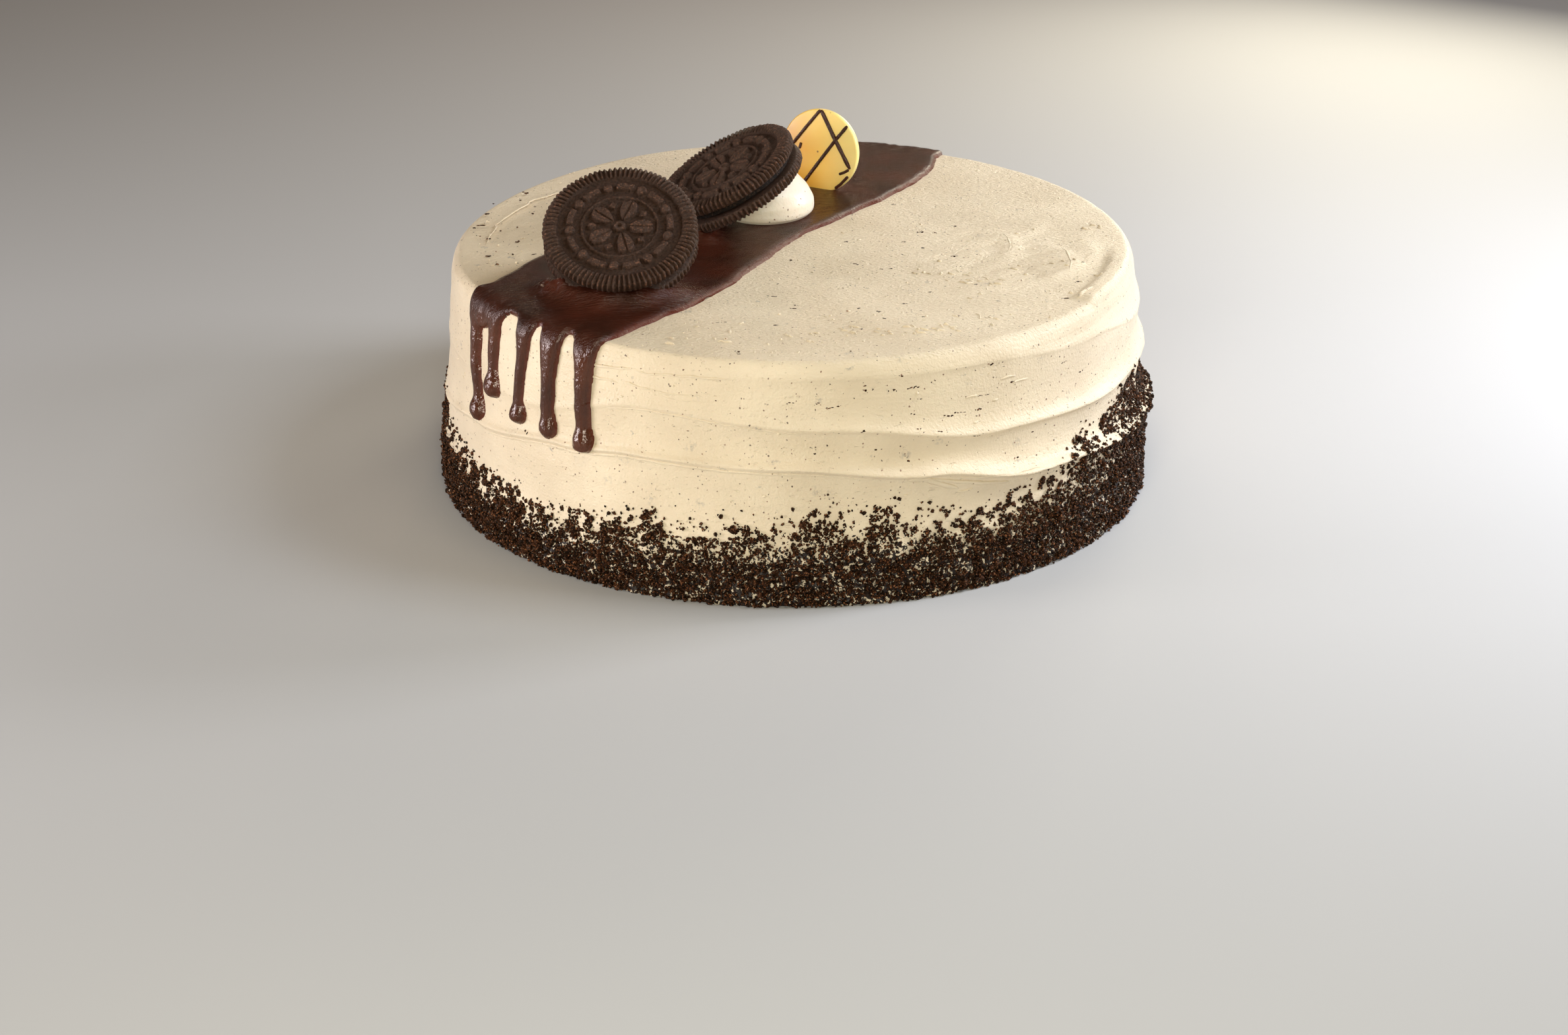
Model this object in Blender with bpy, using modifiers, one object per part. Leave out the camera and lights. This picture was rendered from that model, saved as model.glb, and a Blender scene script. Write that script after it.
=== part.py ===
"""Cookies and cream cake, in metres, +Z up, with its origin at the centre of the base.

A round frosted cake with spatula ridges and a foot of cookie crumbs carries a band of ganache that
runs across the top and drips over both ends. Two sandwich cookies lean on dollops of cream, and a
disc of white chocolate stands in the ganache.
"""

import math
import random

import bmesh
import bpy
from mathutils import Matrix, Vector, noise

MM = 0.001
GAP = 0.3 * MM
# Points nearer than this are one, and an edge sharper than this angle is rounded
SAME_POINT = 0.01 * MM
SHARP = 60

# Cake
CAKE_HEIGHT = 72 * MM
FLAT_RADIUS = 100 * MM
BASE_RADIUS = 105.6 * MM
COLUMNS = 96
# Height and radius down the side, from the edge of the flat top to the base
SIDE_PROFILE = [(CAKE_HEIGHT, FLAT_RADIUS), (71.2 * MM, 101.4 * MM), (69.5 * MM, 102.2 * MM),
                (67 * MM, 102.6 * MM), (58 * MM, 104 * MM), (42 * MM, 104.3 * MM), (35 * MM, 105.3 * MM),
                (20 * MM, 105.8 * MM), (0, BASE_RADIUS)]

# Crests that the spatula left round the side: depth, drop of the step below, and height by azimuth
LOW_CREST = {-174: 29.5, -150: 34.5, -129: 39.5, -115: 42, -90: 41.5, -69: 37.5, -49: 31.5, -13: 27.5,
             35: 28, 80: 34, 125: 36, 160: 31}
MIDDLE_CREST = {-138: 48, -113: 56.5, -84: 52.5, -57: 46.5, -30: 44.5, 20: 45, 70: 50, 110: 54, 160: 48}
HIGH_CREST = {-120: 67.2, -60: 66.8, -34: 63, -10: 57.5, 40: 59, 90: 64, 140: 65, -170: 65}
CRESTS = [(1.5 * MM, 1.0 * MM, LOW_CREST), (0.9 * MM, 0.8 * MM, MIDDLE_CREST),
          (0.6 * MM, 0.6 * MM, HIGH_CREST)]
# Rows of the side as shares of the way up to the lowest crest, between crests, and up to the top edge
FOOT_ROWS = [0, 0.12, 0.25, 0.38, 0.52, 0.72, 1]
BAND_ROWS = [0.5, 1]
EDGE_ROWS = [0.35, 0.7, 0.9, 1]

# Crumbs round the foot
CRUMB_TOP = {-174: 28, -157: 21, -130: 20, -104: 25, -77: 29, -58: 22, -35: 31, -6: 32, 40: 25, 80: 21,
             120: 28, 155: 23}
CRUMB_LAYER = 2.2 * MM
# The layer's lumps: their size, and its thickness in a mean place and how far a lump changes it
CRUMB_LUMP = 4 * MM
CRUMB_MEAN = 0.85
CRUMB_SWING = 0.7
# How fast the layer fades towards its top, and how deep in it a crumb sits
CRUMB_FADE = 1.8
CRUMB_SEAT = 0.7
# How much nearer the base than evenly spread the crumbs lie, and the lowest one in crumb radii
CRUMB_SETTLE = 1.5
CRUMB_LOWEST = 1.15
CRUMB_COUNT = 78
CRUMB_SIZES = (1.9 * MM, 1.1 * MM)
CRUMB_ROUGH = (0.85, 1.1)
CRUMB_STRAY = 3
CRUMB_SEED = 14

# Ganache band, on the top unrolled over the edge
GANACHE_THICKNESS = 1.7 * MM
BAND_ACROSS = 8
BAND_ALONG = 20
BAND_EDGE_ROUND = 0.7 * MM
FLAT_ENOUGH = 0.5
# Height on the side at which the band ends, and the azimuths of its corners there
BAND_END = 68
LEFT_FRONT = -152.5
RIGHT_FRONT = -121
LEFT_BACK = 94
RIGHT_BACK = 60
# The right edge swings out in a wave that dies away at its ends, and across the band from that edge
EDGE_BULGE = 3 * MM
EDGE_WAVE = 2.4 * MM
EDGE_WAVE_LENGTH = 100 * MM
EDGE_WAVE_CREST = -48 * MM
END_FADE = 6
ACROSS_FADE = 3

# Drips: azimuth, height of the tip, width of the stem and of the bulb
DRIPS = [(-151.6, 35, 3.6, 5.0), (-145.8, 44.5, 4.3, 5.6), (-138.1, 40.5, 3.5, 5.3), (-131.4, 40, 5.0, 5.4),
         (-124.4, 38.8, 5.6, 6.3), (64, 44, 5.0, 5.8), (70.5, 53, 4.2, 5.4), (78, 38, 4.0, 5.3),
         (85, 48, 4.6, 5.6), (91.5, 41, 3.8, 5.2)]
# A drip starts this far in from the edge of the flat top, half as wide as the spread, and narrows to its
# stem over the neck
DRIP_START = 6 * MM
DRIP_SPREAD = 4.0 * MM
DRIP_NARROWING = 1.5
DRIP_NECK = 15 * MM
DRIP_STEP = 7 * MM
DRIP_STEPS_MIN = 6
# Share of a drip's radius that lies in the side, depth of its root in the band, rise over the relief
DRIP_SUNK = 0.3
DRIP_ROOT_SUNK = 0.2 * MM
DRIP_RISE = 0.4 * MM
# Heights above and below a point of a drip at which it feels the relief of the side under it
DRIP_FEEL = (-2 * MM, 0, 2 * MM)
BULB_LENGTH = 9 * MM
# Share of the way down the bulb, and of the bulb's full radius there
BULB_PROFILE = [(0, 0), (0.35, 0.71), (0.6, 1), (0.84, 0.82), (0.97, 0.4), (1, 0.16)]

# Cookies: centre, tilt and azimuth of the way that the top faces
COOKIE_RADIUS = 22.6 * MM
WAFER_INNER = 1.25 * MM
WAFER_RIM = 3.1 * MM
WAFER_FACE = 5.05 * MM
RIDGES = 48
PLAIN_COLUMNS = 40
ROOM_COLUMNS = 64
RIDGE_DEPTH = 0.45 * MM
FILLING_RADIUS = 20 * MM
# Up a wafer's edge: distance in from the rim, height, and how much of a ridge's dip goes inward and down
WAFER_EDGE = [(1.2 * MM, WAFER_INNER, 0, 0), (0, WAFER_RIM, 0.6, 0),
              (0.9 * MM, WAFER_FACE - 0.3 * MM, 0.7, 0.7), (3.8 * MM, WAFER_FACE, 0, 1),
              (4.5 * MM, WAFER_FACE - 0.7 * MM, 0, 0)]
COOKIES = {"front": ((-50 * MM, -41.8 * MM, 88.3 * MM), 32.2, -92.3),
           "back": ((-19 * MM, 15.2 * MM, 87.2 * MM), 28.2, -165.8)}

# Cream dollops under the cookies: centre, base radius and height
DOLLOPS = {"back": ((-9 * MM, 27 * MM), 14.5 * MM, 17.5 * MM),
           "front": ((-49 * MM, -31 * MM), 11.5 * MM, 19 * MM)}
# Share of the radius and of the height, from a dollop's tip down to the middle of its base
DOLLOP_PROFILE = [(0, 1), (0.18, 0.97), (0.4, 0.88), (0.66, 0.72), (0.88, 0.5), (0.99, 0.28), (1, 0.1),
                  (0.92, 0), (0, 0)]
DOLLOP_SIDES = 26

# White chocolate disc with dark lines
DISC_RADIUS = 13.1 * MM
DISC_THICKNESS = 2.0 * MM
DISC_SIDES = 44
DISC_CENTRE = (8.7 * MM, 49.5 * MM, 85.5 * MM)
DISC_TURN = -27
DISC_LEAN = 6
DISC_RIM_ROUND = 0.5 * MM
LINE_WIDTH = 1.0 * MM
LINE_RISE = 0.35 * MM
# Each line on the disc's face by its two ends, in shares of the radius from the centre
DISC_LINES = [((-0.02, 0.96), (-0.72, 0.1)), ((0.0, 0.96), (0.8, -0.3)), ((0.68, 0.7), (-0.4, -0.9)),
              ((0.74, -0.46), (0.42, -0.86))]


def part_material(name, colour, roughness):
    """Return a plain Principled material."""
    material = bpy.data.materials.new(name)
    material.use_nodes = True
    shader = material.node_tree.nodes["Principled BSDF"]
    shader.inputs["Base Color"].default_value = (*colour, 1)
    shader.inputs["Roughness"].default_value = roughness
    shader.inputs["Metallic"].default_value = 0
    material.diffuse_color = (*colour, 1)
    return material


def add_object(name, bm, collection, material=None):
    """Put a finished bmesh into the scene as one object."""
    bmesh.ops.recalc_face_normals(bm, faces=bm.faces)
    mesh = bpy.data.meshes.new(name)
    bm.to_mesh(mesh)
    bm.free()
    if material:
        mesh.materials.append(material)
    obj = bpy.data.objects.new(name, mesh)
    collection.objects.link(obj)
    return obj


def add_turned(name, profile, steps, frame, collection, material):
    """A turned solid, its profile of radius and height running from the top down the outside."""
    mesh = bpy.data.meshes.new(name)
    edges = [(number, number + 1) for number in range(len(profile) - 1)]
    mesh.from_pydata([(radius, 0, height) for radius, height in profile], edges, [])
    mesh.materials.append(material)
    obj = bpy.data.objects.new(name, mesh)
    obj.matrix_world = frame
    collection.objects.link(obj)
    turn = obj.modifiers.new("turn", "SCREW")
    turn.angle = math.tau
    turn.steps = steps
    turn.render_steps = steps
    turn.use_merge_vertices = True
    turn.merge_threshold = SAME_POINT
    return obj


def as_cutter(obj):
    """Keep a cutter out of the render and out of the model."""
    obj.hide_render = True
    obj.display_type = "WIRE"


def add_boolean(obj, operation, other=None, collection=None):
    """Cut or join one object or a whole collection, exactly."""
    modifier = obj.modifiers.new(operation.lower(), "BOOLEAN")
    modifier.operation = operation
    modifier.solver = "EXACT"
    if collection:
        modifier.operand_type = "COLLECTION"
        modifier.collection = collection
    else:
        modifier.object = other
    return modifier


def bake_modifiers(obj, flatten=0):
    """Make an object's modifiers its mesh, and faces within flatten degrees of each other one."""
    evaluated = obj.evaluated_get(bpy.context.evaluated_depsgraph_get())
    mesh = bpy.data.meshes.new_from_object(evaluated)
    bm = bmesh.new()
    bm.from_mesh(mesh)
    bmesh.ops.remove_doubles(bm, verts=bm.verts, dist=SAME_POINT / 5)
    if flatten:
        bmesh.ops.dissolve_limit(bm, angle_limit=math.radians(flatten), verts=bm.verts, edges=bm.edges)
    bm.to_mesh(mesh)
    bm.free()
    mesh.name = obj.name
    obj.modifiers.clear()
    obj.data = mesh


def remove_all(objects):
    """Delete objects that have done their work."""
    for obj in list(objects):
        bpy.data.objects.remove(obj, do_unlink=True)


def join_rings(bm, rings):
    """Lay quads between rings of equal length, lowest ring first."""
    for lower, upper in zip(rings, rings[1:]):
        for number, vert in enumerate(lower):
            after = (number + 1) % len(lower)
            bm.faces.new((vert, lower[after], upper[after], upper[number]))


def round_lookup(table, azimuth):
    """Read a table of millimetres by azimuth, smoothly and all the way round."""
    angle = (azimuth + 180) % 360 - 180
    points = sorted(table.items())
    points = [(points[-1][0] - 360, points[-1][1])] + points + [(points[0][0] + 360, points[0][1])]
    for (start, low), (end, high) in zip(points, points[1:]):
        if start <= angle <= end:
            share = (angle - start) / (end - start)
            return (low + (high - low) * share * share * (3 - 2 * share)) * MM
    return points[0][1] * MM


def profile_radius(height):
    """Radius of the plain side at a height."""
    for (high, outer), (low, inner) in zip(SIDE_PROFILE, SIDE_PROFILE[1:]):
        if height >= low:
            share = (high - height) / (high - low)
            return outer + (inner - outer) * share
    return BASE_RADIUS


def crest_heights(azimuth):
    """Heights of the three crests at an azimuth, lowest first."""
    return [round_lookup(table, azimuth) for depth, drop, table in CRESTS]


def side_radius(azimuth, height):
    """Radius of the frosted side, each spatula band flaring out to its crest."""
    radius = profile_radius(height)
    crests = crest_heights(azimuth)
    tops = crests[1:] + [CAKE_HEIGHT]
    for (depth, drop, table), crest, top in zip(CRESTS, crests, tops):
        if crest - drop < height < crest:
            radius += depth * (height - crest + drop) / drop
        elif crest <= height < top:
            radius += depth * (1 - (height - crest) / (top - crest)) ** 2
    return radius


def crumb_cover(azimuth, height):
    """How thickly crumbs cover the side: 1 at the base, 0 above their ragged top."""
    top = round_lookup(CRUMB_TOP, azimuth)
    return min(1, max(0, CRUMB_FADE * (1 - height / top)))


def column_heights(azimuth):
    """Heights of the rows in one column, with two rows at every crest."""
    crests = crest_heights(azimuth)
    feet = [crest - drop for crest, (depth, drop, table) in zip(crests, CRESTS)]
    heights = [share * feet[0] for share in FOOT_ROWS]
    for crest, foot in zip(crests, feet[1:]):
        heights.append(crest)
        heights += [crest + share * (foot - crest) for share in BAND_ROWS]
    heights.append(crests[-1])
    heights += [crests[-1] + share * (CAKE_HEIGHT - crests[-1]) for share in EDGE_ROWS]
    return heights


def cake_mesh(grow):
    """The cake's solid, with its outside moved out by grow for use as a cutter."""
    bm = bmesh.new()
    rings = [[] for row in column_heights(0)]
    for column in range(COLUMNS):
        azimuth = column * 360 / COLUMNS
        angle = math.radians(azimuth)
        for ring, height in zip(rings, column_heights(azimuth)):
            place = Vector((math.cos(angle), math.sin(angle), 0))
            lump = noise.noise(Vector((place.x * BASE_RADIUS, place.y * BASE_RADIUS, height)) / CRUMB_LUMP)
            radius = side_radius(azimuth, height) + grow
            radius += CRUMB_LAYER * crumb_cover(azimuth, height) * (CRUMB_MEAN + CRUMB_SWING * lump)
            lift = grow if ring is rings[-1] else 0
            ring.append(bm.verts.new(place * radius + Vector((0, 0, height + lift))))
    join_rings(bm, rings)
    bm.faces.new(rings[0])
    bm.faces.new(rings[-1])
    return bm


def add_crumbs(cake, collection):
    """Fuse crumbs to the foot of the cake, the largest first, evenly round it and thickest low down."""
    draw = random.Random(CRUMB_SEED)
    golden = 360 * (math.sqrt(5) - 1) / 2
    for number in range(CRUMB_COUNT):
        share = number / (CRUMB_COUNT - 1)
        size = CRUMB_SIZES[0] + (CRUMB_SIZES[1] - CRUMB_SIZES[0]) * share
        azimuth = number * golden + draw.uniform(-CRUMB_STRAY, CRUMB_STRAY)
        top = round_lookup(CRUMB_TOP, azimuth)
        height = CRUMB_LOWEST * size + (top - size) * draw.random() ** CRUMB_SETTLE
        bm = bmesh.new()
        bmesh.ops.create_icosphere(bm, subdivisions=1, radius=size)
        for vert in bm.verts:
            vert.co *= draw.uniform(*CRUMB_ROUGH)
        axis = Vector((draw.random(), draw.random(), 1)).normalized()
        turn = Matrix.Rotation(draw.uniform(0, math.tau), 4, axis)
        angle = math.radians(azimuth)
        radius = side_radius(azimuth, height) + CRUMB_SEAT * CRUMB_LAYER * crumb_cover(azimuth, height)
        place = Vector((math.cos(angle) * radius, math.sin(angle) * radius, height))
        bm.transform(Matrix.Translation(place) @ turn)
        add_object("crumb", bm, collection)
    add_boolean(cake, "UNION", collection=collection)
    bake_modifiers(cake)
    remove_all(collection.objects)


def drape(azimuth, reach, lift):
    """A point on the cake: reach is the way out from the axis over the top and down the side."""
    angle = math.radians(azimuth)
    outward = Vector((math.cos(angle), math.sin(angle), 0))
    up = Vector((0, 0, 1))
    if reach <= FLAT_RADIUS:
        return outward * reach + up * (CAKE_HEIGHT + lift)
    left = reach - FLAT_RADIUS
    for (high, start), (low, end) in zip(SIDE_PROFILE, SIDE_PROFILE[1:]):
        length = math.hypot(high - low, end - start)
        if left <= length:
            break
        left -= length
    share = left / length
    height = high + (low - high) * share
    radius = start + (end - start) * share
    normal = outward * (high - low) / length + up * (end - start) / length
    return outward * radius + up * height + normal * lift


def reach_of_height(height):
    """How far out and down the side a height lies."""
    reach = FLAT_RADIUS
    for (high, start), (low, end) in zip(SIDE_PROFILE, SIDE_PROFILE[1:]):
        length = math.hypot(high - low, end - start)
        if height >= low:
            return reach + length * (high - height) / (high - low)
        reach += length
    return reach


def band_corner(azimuth):
    """Where a corner of the band lies when the side is rolled out flat with the top."""
    angle = math.radians(azimuth)
    return Vector((math.cos(angle), math.sin(angle))) * reach_of_height(BAND_END * MM)


def ganache_sheet():
    """The band as an open sheet laid over the top and the rounded edge."""
    left_front = band_corner(LEFT_FRONT)
    right_front = band_corner(RIGHT_FRONT)
    left_back = band_corner(LEFT_BACK)
    right_back = band_corner(RIGHT_BACK)
    run = (right_back - right_front).normalized()
    bm = bmesh.new()
    bmesh.ops.create_grid(bm, x_segments=BAND_ACROSS, y_segments=BAND_ALONG, size=1)
    for vert in bm.verts:
        across = (vert.co.x + 1) / 2
        along = (vert.co.y + 1) / 2
        front = left_front.lerp(right_front, across)
        back = left_back.lerp(right_back, across)
        front *= left_front.length / front.length
        back *= left_back.length / back.length
        place = front.lerp(back, along)
        wave = EDGE_WAVE * math.cos(math.tau * (place.y - EDGE_WAVE_CREST) / EDGE_WAVE_LENGTH)
        wave = (EDGE_BULGE + wave) * (1 - abs(2 * along - 1) ** END_FADE)
        place += Vector((run.y, -run.x)) * wave * across ** ACROSS_FADE
        vert.co = drape(math.degrees(math.atan2(place.y, place.x)), place.length, 0)
    return bm


def drip_widths(tip_reach, stem, bulb):
    """Places along a drip and the radius there, from its root on the top to its tip."""
    start = FLAT_RADIUS - DRIP_START
    length = tip_reach - BULB_LENGTH - start
    steps = max(DRIP_STEPS_MIN, round(length / DRIP_STEP))
    sections = []
    for step in range(steps):
        way = length * step / steps
        spread = max(0, 1 - way / (DRIP_START + DRIP_NECK))
        sections.append((start + way, stem / 2 + (DRIP_SPREAD - stem / 2) * spread ** DRIP_NARROWING))
    for share, width in BULB_PROFILE:
        neck = stem / 2 * (1 - share)
        sections.append((tip_reach - BULB_LENGTH * (1 - share), max(neck, width * bulb / 2)))
    return sections


def add_drip(number, azimuth, tip, stem, bulb, collection):
    """One drip as a tube of changing width, part sunk in the side."""
    curve = bpy.data.curves.new("drip", "CURVE")
    curve.dimensions = "3D"
    curve.bevel_depth = 1
    curve.bevel_resolution = 2
    curve.use_fill_caps = True
    spline = curve.splines.new("POLY")
    sections = drip_widths(reach_of_height(tip * MM), stem * MM, bulb * MM)
    spline.points.add(len(sections) - 1)
    for point, (reach, radius) in zip(spline.points, sections):
        height = drape(azimuth, reach, 0).z
        felt = [height + shift for shift in DRIP_FEEL]
        relief = max(side_radius(azimuth, level) - profile_radius(level) for level in felt)
        rooted = max(0, min(1, (FLAT_RADIUS + DRIP_NECK - reach) / DRIP_NECK))
        hanging = relief + DRIP_RISE - DRIP_SUNK * radius
        lift = hanging + (GANACHE_THICKNESS - DRIP_ROOT_SUNK - radius - hanging) * rooted
        point.co = (*drape(azimuth, reach, lift), 1)
        point.radius = radius
    tube = bpy.data.objects.new("drip_tube", curve)
    collection.objects.link(tube)
    evaluated = tube.evaluated_get(bpy.context.evaluated_depsgraph_get())
    mesh = bpy.data.meshes.new_from_object(evaluated)
    bm = bmesh.new()
    bm.from_mesh(mesh)
    bmesh.ops.remove_doubles(bm, verts=bm.verts, dist=SAME_POINT)
    bpy.data.objects.remove(tube, do_unlink=True)
    return add_object(f"drip_{number}", bm, collection)


def cookie_frame(place, tilt, azimuth):
    """Frame of a cookie: origin in the middle of its filling, +Z out of its top."""
    turn = Matrix.Rotation(math.radians(azimuth), 4, "Z") @ Matrix.Rotation(math.radians(tilt), 4, "Y")
    return Matrix.Translation(Vector(place)) @ turn


def ridged_wafer_mesh():
    """A wafer with its face up: flat inside, round rim, ridged edge and sunken middle."""
    bm = bmesh.new()
    rings = []
    for inset, height, inward, down in WAFER_EDGE:
        ring = []
        for column in range(2 * RIDGES):
            dip = RIDGE_DEPTH * (column % 2)
            angle = math.pi * column / RIDGES
            radius = COOKIE_RADIUS - inset - dip * inward
            level = height - dip * down
            ring.append(bm.verts.new((radius * math.cos(angle), radius * math.sin(angle), level)))
        rings.append(ring)
    join_rings(bm, rings)
    bm.faces.new(rings[0])
    bm.faces.new(rings[-1])
    return bm


def add_cookie(which, frame, parts, wafer_material, filling_material):
    """Two wafers with a recessed filling between them."""
    top = ridged_wafer_mesh()
    top.transform(frame)
    add_object(f"cookie_{which}_top_wafer", top, parts, wafer_material)
    profile = [(COOKIE_RADIUS - inset, height) for inset, height, inward, down in reversed(WAFER_EDGE)]
    profile = [(0, profile[0][1])] + profile + [(0, WAFER_INNER)]
    upside_down = frame @ Matrix.Rotation(math.pi, 4, "X")
    add_turned(f"cookie_{which}_bottom_wafer", profile, PLAIN_COLUMNS, upside_down, parts, wafer_material)
    half = WAFER_INNER - GAP
    profile = [(0, half), (FILLING_RADIUS, half), (FILLING_RADIUS, -half), (0, -half)]
    add_turned(f"cookie_{which}_filling", profile, PLAIN_COLUMNS, frame, parts, filling_material)


def cookie_cutter(which, frame, cutters):
    """A plain disc a gap larger than the cookie all round."""
    bm = bmesh.new()
    bmesh.ops.create_cone(bm, cap_ends=True, segments=ROOM_COLUMNS, radius1=COOKIE_RADIUS + GAP,
                          radius2=COOKIE_RADIUS + GAP, depth=2 * (WAFER_FACE + GAP), matrix=frame)
    cutter = add_object(f"cookie_{which}_room", bm, cutters)
    as_cutter(cutter)
    return cutter


def add_dollop(which, centre, radius, height, parts, material, cutter):
    """A piped dollop of cream, pressed flat on top by the cookie that leans on it."""
    profile = [(width * radius, share * height) for width, share in DOLLOP_PROFILE]
    place = Matrix.Translation((*centre, CAKE_HEIGHT + GANACHE_THICKNESS + GAP))
    dollop = add_turned(f"cream_dollop_{which}", profile, DOLLOP_SIDES, place, parts, material)
    add_boolean(dollop, "DIFFERENCE", cutter)
    return dollop


def disc_frame():
    """Frame of the disc: +Z out of its face, +Y up along it."""
    lean = Matrix.Rotation(math.radians(90 - DISC_LEAN), 4, "X")
    return Matrix.Translation(DISC_CENTRE) @ Matrix.Rotation(math.radians(DISC_TURN), 4, "Z") @ lean


def add_disc(frame, parts, tools, material):
    """The white disc with its dark lines as low relief on the face."""
    bm = bmesh.new()
    bmesh.ops.create_cone(bm, cap_ends=True, segments=DISC_SIDES, radius1=DISC_RADIUS, radius2=DISC_RADIUS,
                          depth=DISC_THICKNESS)
    bm.transform(frame)
    disc = add_object("white_chocolate_disc", bm, parts, material)
    rim = disc.modifiers.new("rim", "BEVEL")
    rim.width = DISC_RIM_ROUND
    rim.segments = 1
    rim.limit_method = "ANGLE"
    rim.angle_limit = math.radians(SHARP)
    bake_modifiers(disc)
    for start, end in DISC_LINES:
        first = Vector((*start, 0)) * DISC_RADIUS
        last = Vector((*end, 0)) * DISC_RADIUS
        length = (last - first).length
        turn = Matrix.Rotation(math.atan2(last.y - first.y, last.x - first.x), 4, "Z")
        size = Matrix.Diagonal((length, LINE_WIDTH, 2 * LINE_RISE, 1))
        bar = bmesh.new()
        place = (first + last) / 2 + Vector((0, 0, DISC_THICKNESS / 2))
        bmesh.ops.create_cube(bar, size=1, matrix=frame @ Matrix.Translation(place) @ turn @ size)
        add_object("line", bar, tools)
    add_boolean(disc, "UNION", collection=tools)
    bake_modifiers(disc)
    remove_all(tools.objects)
    return disc


def disc_cutter(frame, cutters):
    """A plain disc a gap larger than the white one."""
    bm = bmesh.new()
    bmesh.ops.create_cone(bm, cap_ends=True, segments=DISC_SIDES, radius1=DISC_RADIUS + GAP,
                          radius2=DISC_RADIUS + GAP, depth=DISC_THICKNESS + 2 * LINE_RISE + 2 * GAP)
    bm.transform(frame)
    cutter = add_object("disc_room", bm, cutters)
    as_cutter(cutter)
    return cutter


def add_ganache(parts, tools, toppings, cake_room, material):
    """The band, cut to the toppings that stand in it, then joined to its drips and cut to the cake."""
    band = add_object("ganache_band", ganache_sheet(), parts, material)
    body = band.modifiers.new("body", "SOLIDIFY")
    body.thickness = 2 * GANACHE_THICKNESS
    body.offset = 0
    edge = band.modifiers.new("edge", "BEVEL")
    edge.width = BAND_EDGE_ROUND
    edge.segments = 1
    edge.limit_method = "ANGLE"
    edge.angle_limit = math.radians(SHARP)
    bake_modifiers(band)
    for topping in toppings:
        add_boolean(band, "DIFFERENCE", topping)
        bake_modifiers(band)
    for number, drip in enumerate(DRIPS):
        add_drip(number, *drip, tools)
    add_boolean(band, "UNION", collection=tools)
    bake_modifiers(band)
    remove_all(tools.objects)
    add_boolean(band, "DIFFERENCE", cake_room)
    bake_modifiers(band, flatten=FLAT_ENOUGH)
    return band


def build():
    """Clear the scene and build the cake."""
    remove_all(bpy.data.objects)
    parts = bpy.data.collections.new("cookies_and_cream_cake")
    tools = bpy.data.collections.new("joined_pieces")
    cutters = bpy.data.collections.new("cutters")
    for collection in (parts, tools, cutters):
        bpy.context.scene.collection.children.link(collection)

    frosting = part_material("frosting", (0.72, 0.62, 0.47), 0.55)
    ganache = part_material("ganache", (0.045, 0.016, 0.011), 0.2)
    wafer = part_material("cookie_wafer", (0.04, 0.025, 0.018), 0.8)
    filling = part_material("cookie_filling", (0.016, 0.009, 0.007), 0.85)
    cream = part_material("cream", (0.8, 0.73, 0.6), 0.45)
    white = part_material("white_chocolate", (0.85, 0.66, 0.32), 0.35)

    cake = add_object("frosted_cake", cake_mesh(0), parts, frosting)
    add_crumbs(cake, tools)
    cake_room = add_object("cake_room", cake_mesh(GAP), cutters)
    as_cutter(cake_room)

    rooms = []
    for which, (place, tilt, azimuth) in COOKIES.items():
        frame = cookie_frame(place, tilt, azimuth)
        add_cookie(which, frame, parts, wafer, filling)
        room = cookie_cutter(which, frame, cutters)
        centre, radius, height = DOLLOPS[which]
        add_dollop(which, centre, radius, height, parts, cream, room)
        rooms.append(room)

    frame = disc_frame()
    add_disc(frame, parts, tools, white)
    rooms.append(disc_cutter(frame, cutters))
    add_ganache(parts, tools, rooms, cake_room, ganache)
    bpy.data.collections.remove(tools)


build()
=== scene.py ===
import math
import random

import bpy
import numpy as np
from mathutils import Matrix, Vector, noise


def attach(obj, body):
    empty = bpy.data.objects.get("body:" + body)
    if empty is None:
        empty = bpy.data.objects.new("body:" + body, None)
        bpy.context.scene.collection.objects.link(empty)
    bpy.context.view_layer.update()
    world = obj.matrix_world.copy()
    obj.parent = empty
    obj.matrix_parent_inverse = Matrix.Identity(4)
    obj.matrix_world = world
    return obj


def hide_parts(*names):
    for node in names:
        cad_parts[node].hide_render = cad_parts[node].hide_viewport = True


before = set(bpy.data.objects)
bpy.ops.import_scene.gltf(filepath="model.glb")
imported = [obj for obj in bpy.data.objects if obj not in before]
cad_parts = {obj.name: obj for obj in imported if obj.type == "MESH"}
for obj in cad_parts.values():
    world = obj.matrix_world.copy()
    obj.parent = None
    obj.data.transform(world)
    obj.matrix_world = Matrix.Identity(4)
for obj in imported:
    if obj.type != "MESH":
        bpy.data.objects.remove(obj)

MM = 0.001

# Cake, as in the part: height, radius of the flat top and height of its rounded edge
CAKE_HEIGHT = 72 * MM
FLAT_RADIUS = 100 * MM
EDGE_HEIGHT = 5 * MM
# Height and radius up the side in millimetres, and how far its corners are softened
SIDE_HEIGHTS = [0, 20, 35, 42, 58, 67]
SIDE_RADII = [105.6, 105.8, 105.3, 104.3, 104, 102.6]
SIDE_BLUR = 3 * MM
# Radius at which places along the side are measured, and the length of one degree there, in millimetres
MEAN_RADIUS = 104.5
ARC = math.tau / 360 * MEAN_RADIUS
# Radii at which the noise of the side and of the crumbs is read
SIDE_RING = 104 * MM
CRUMB_RING = 106 * MM
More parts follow.
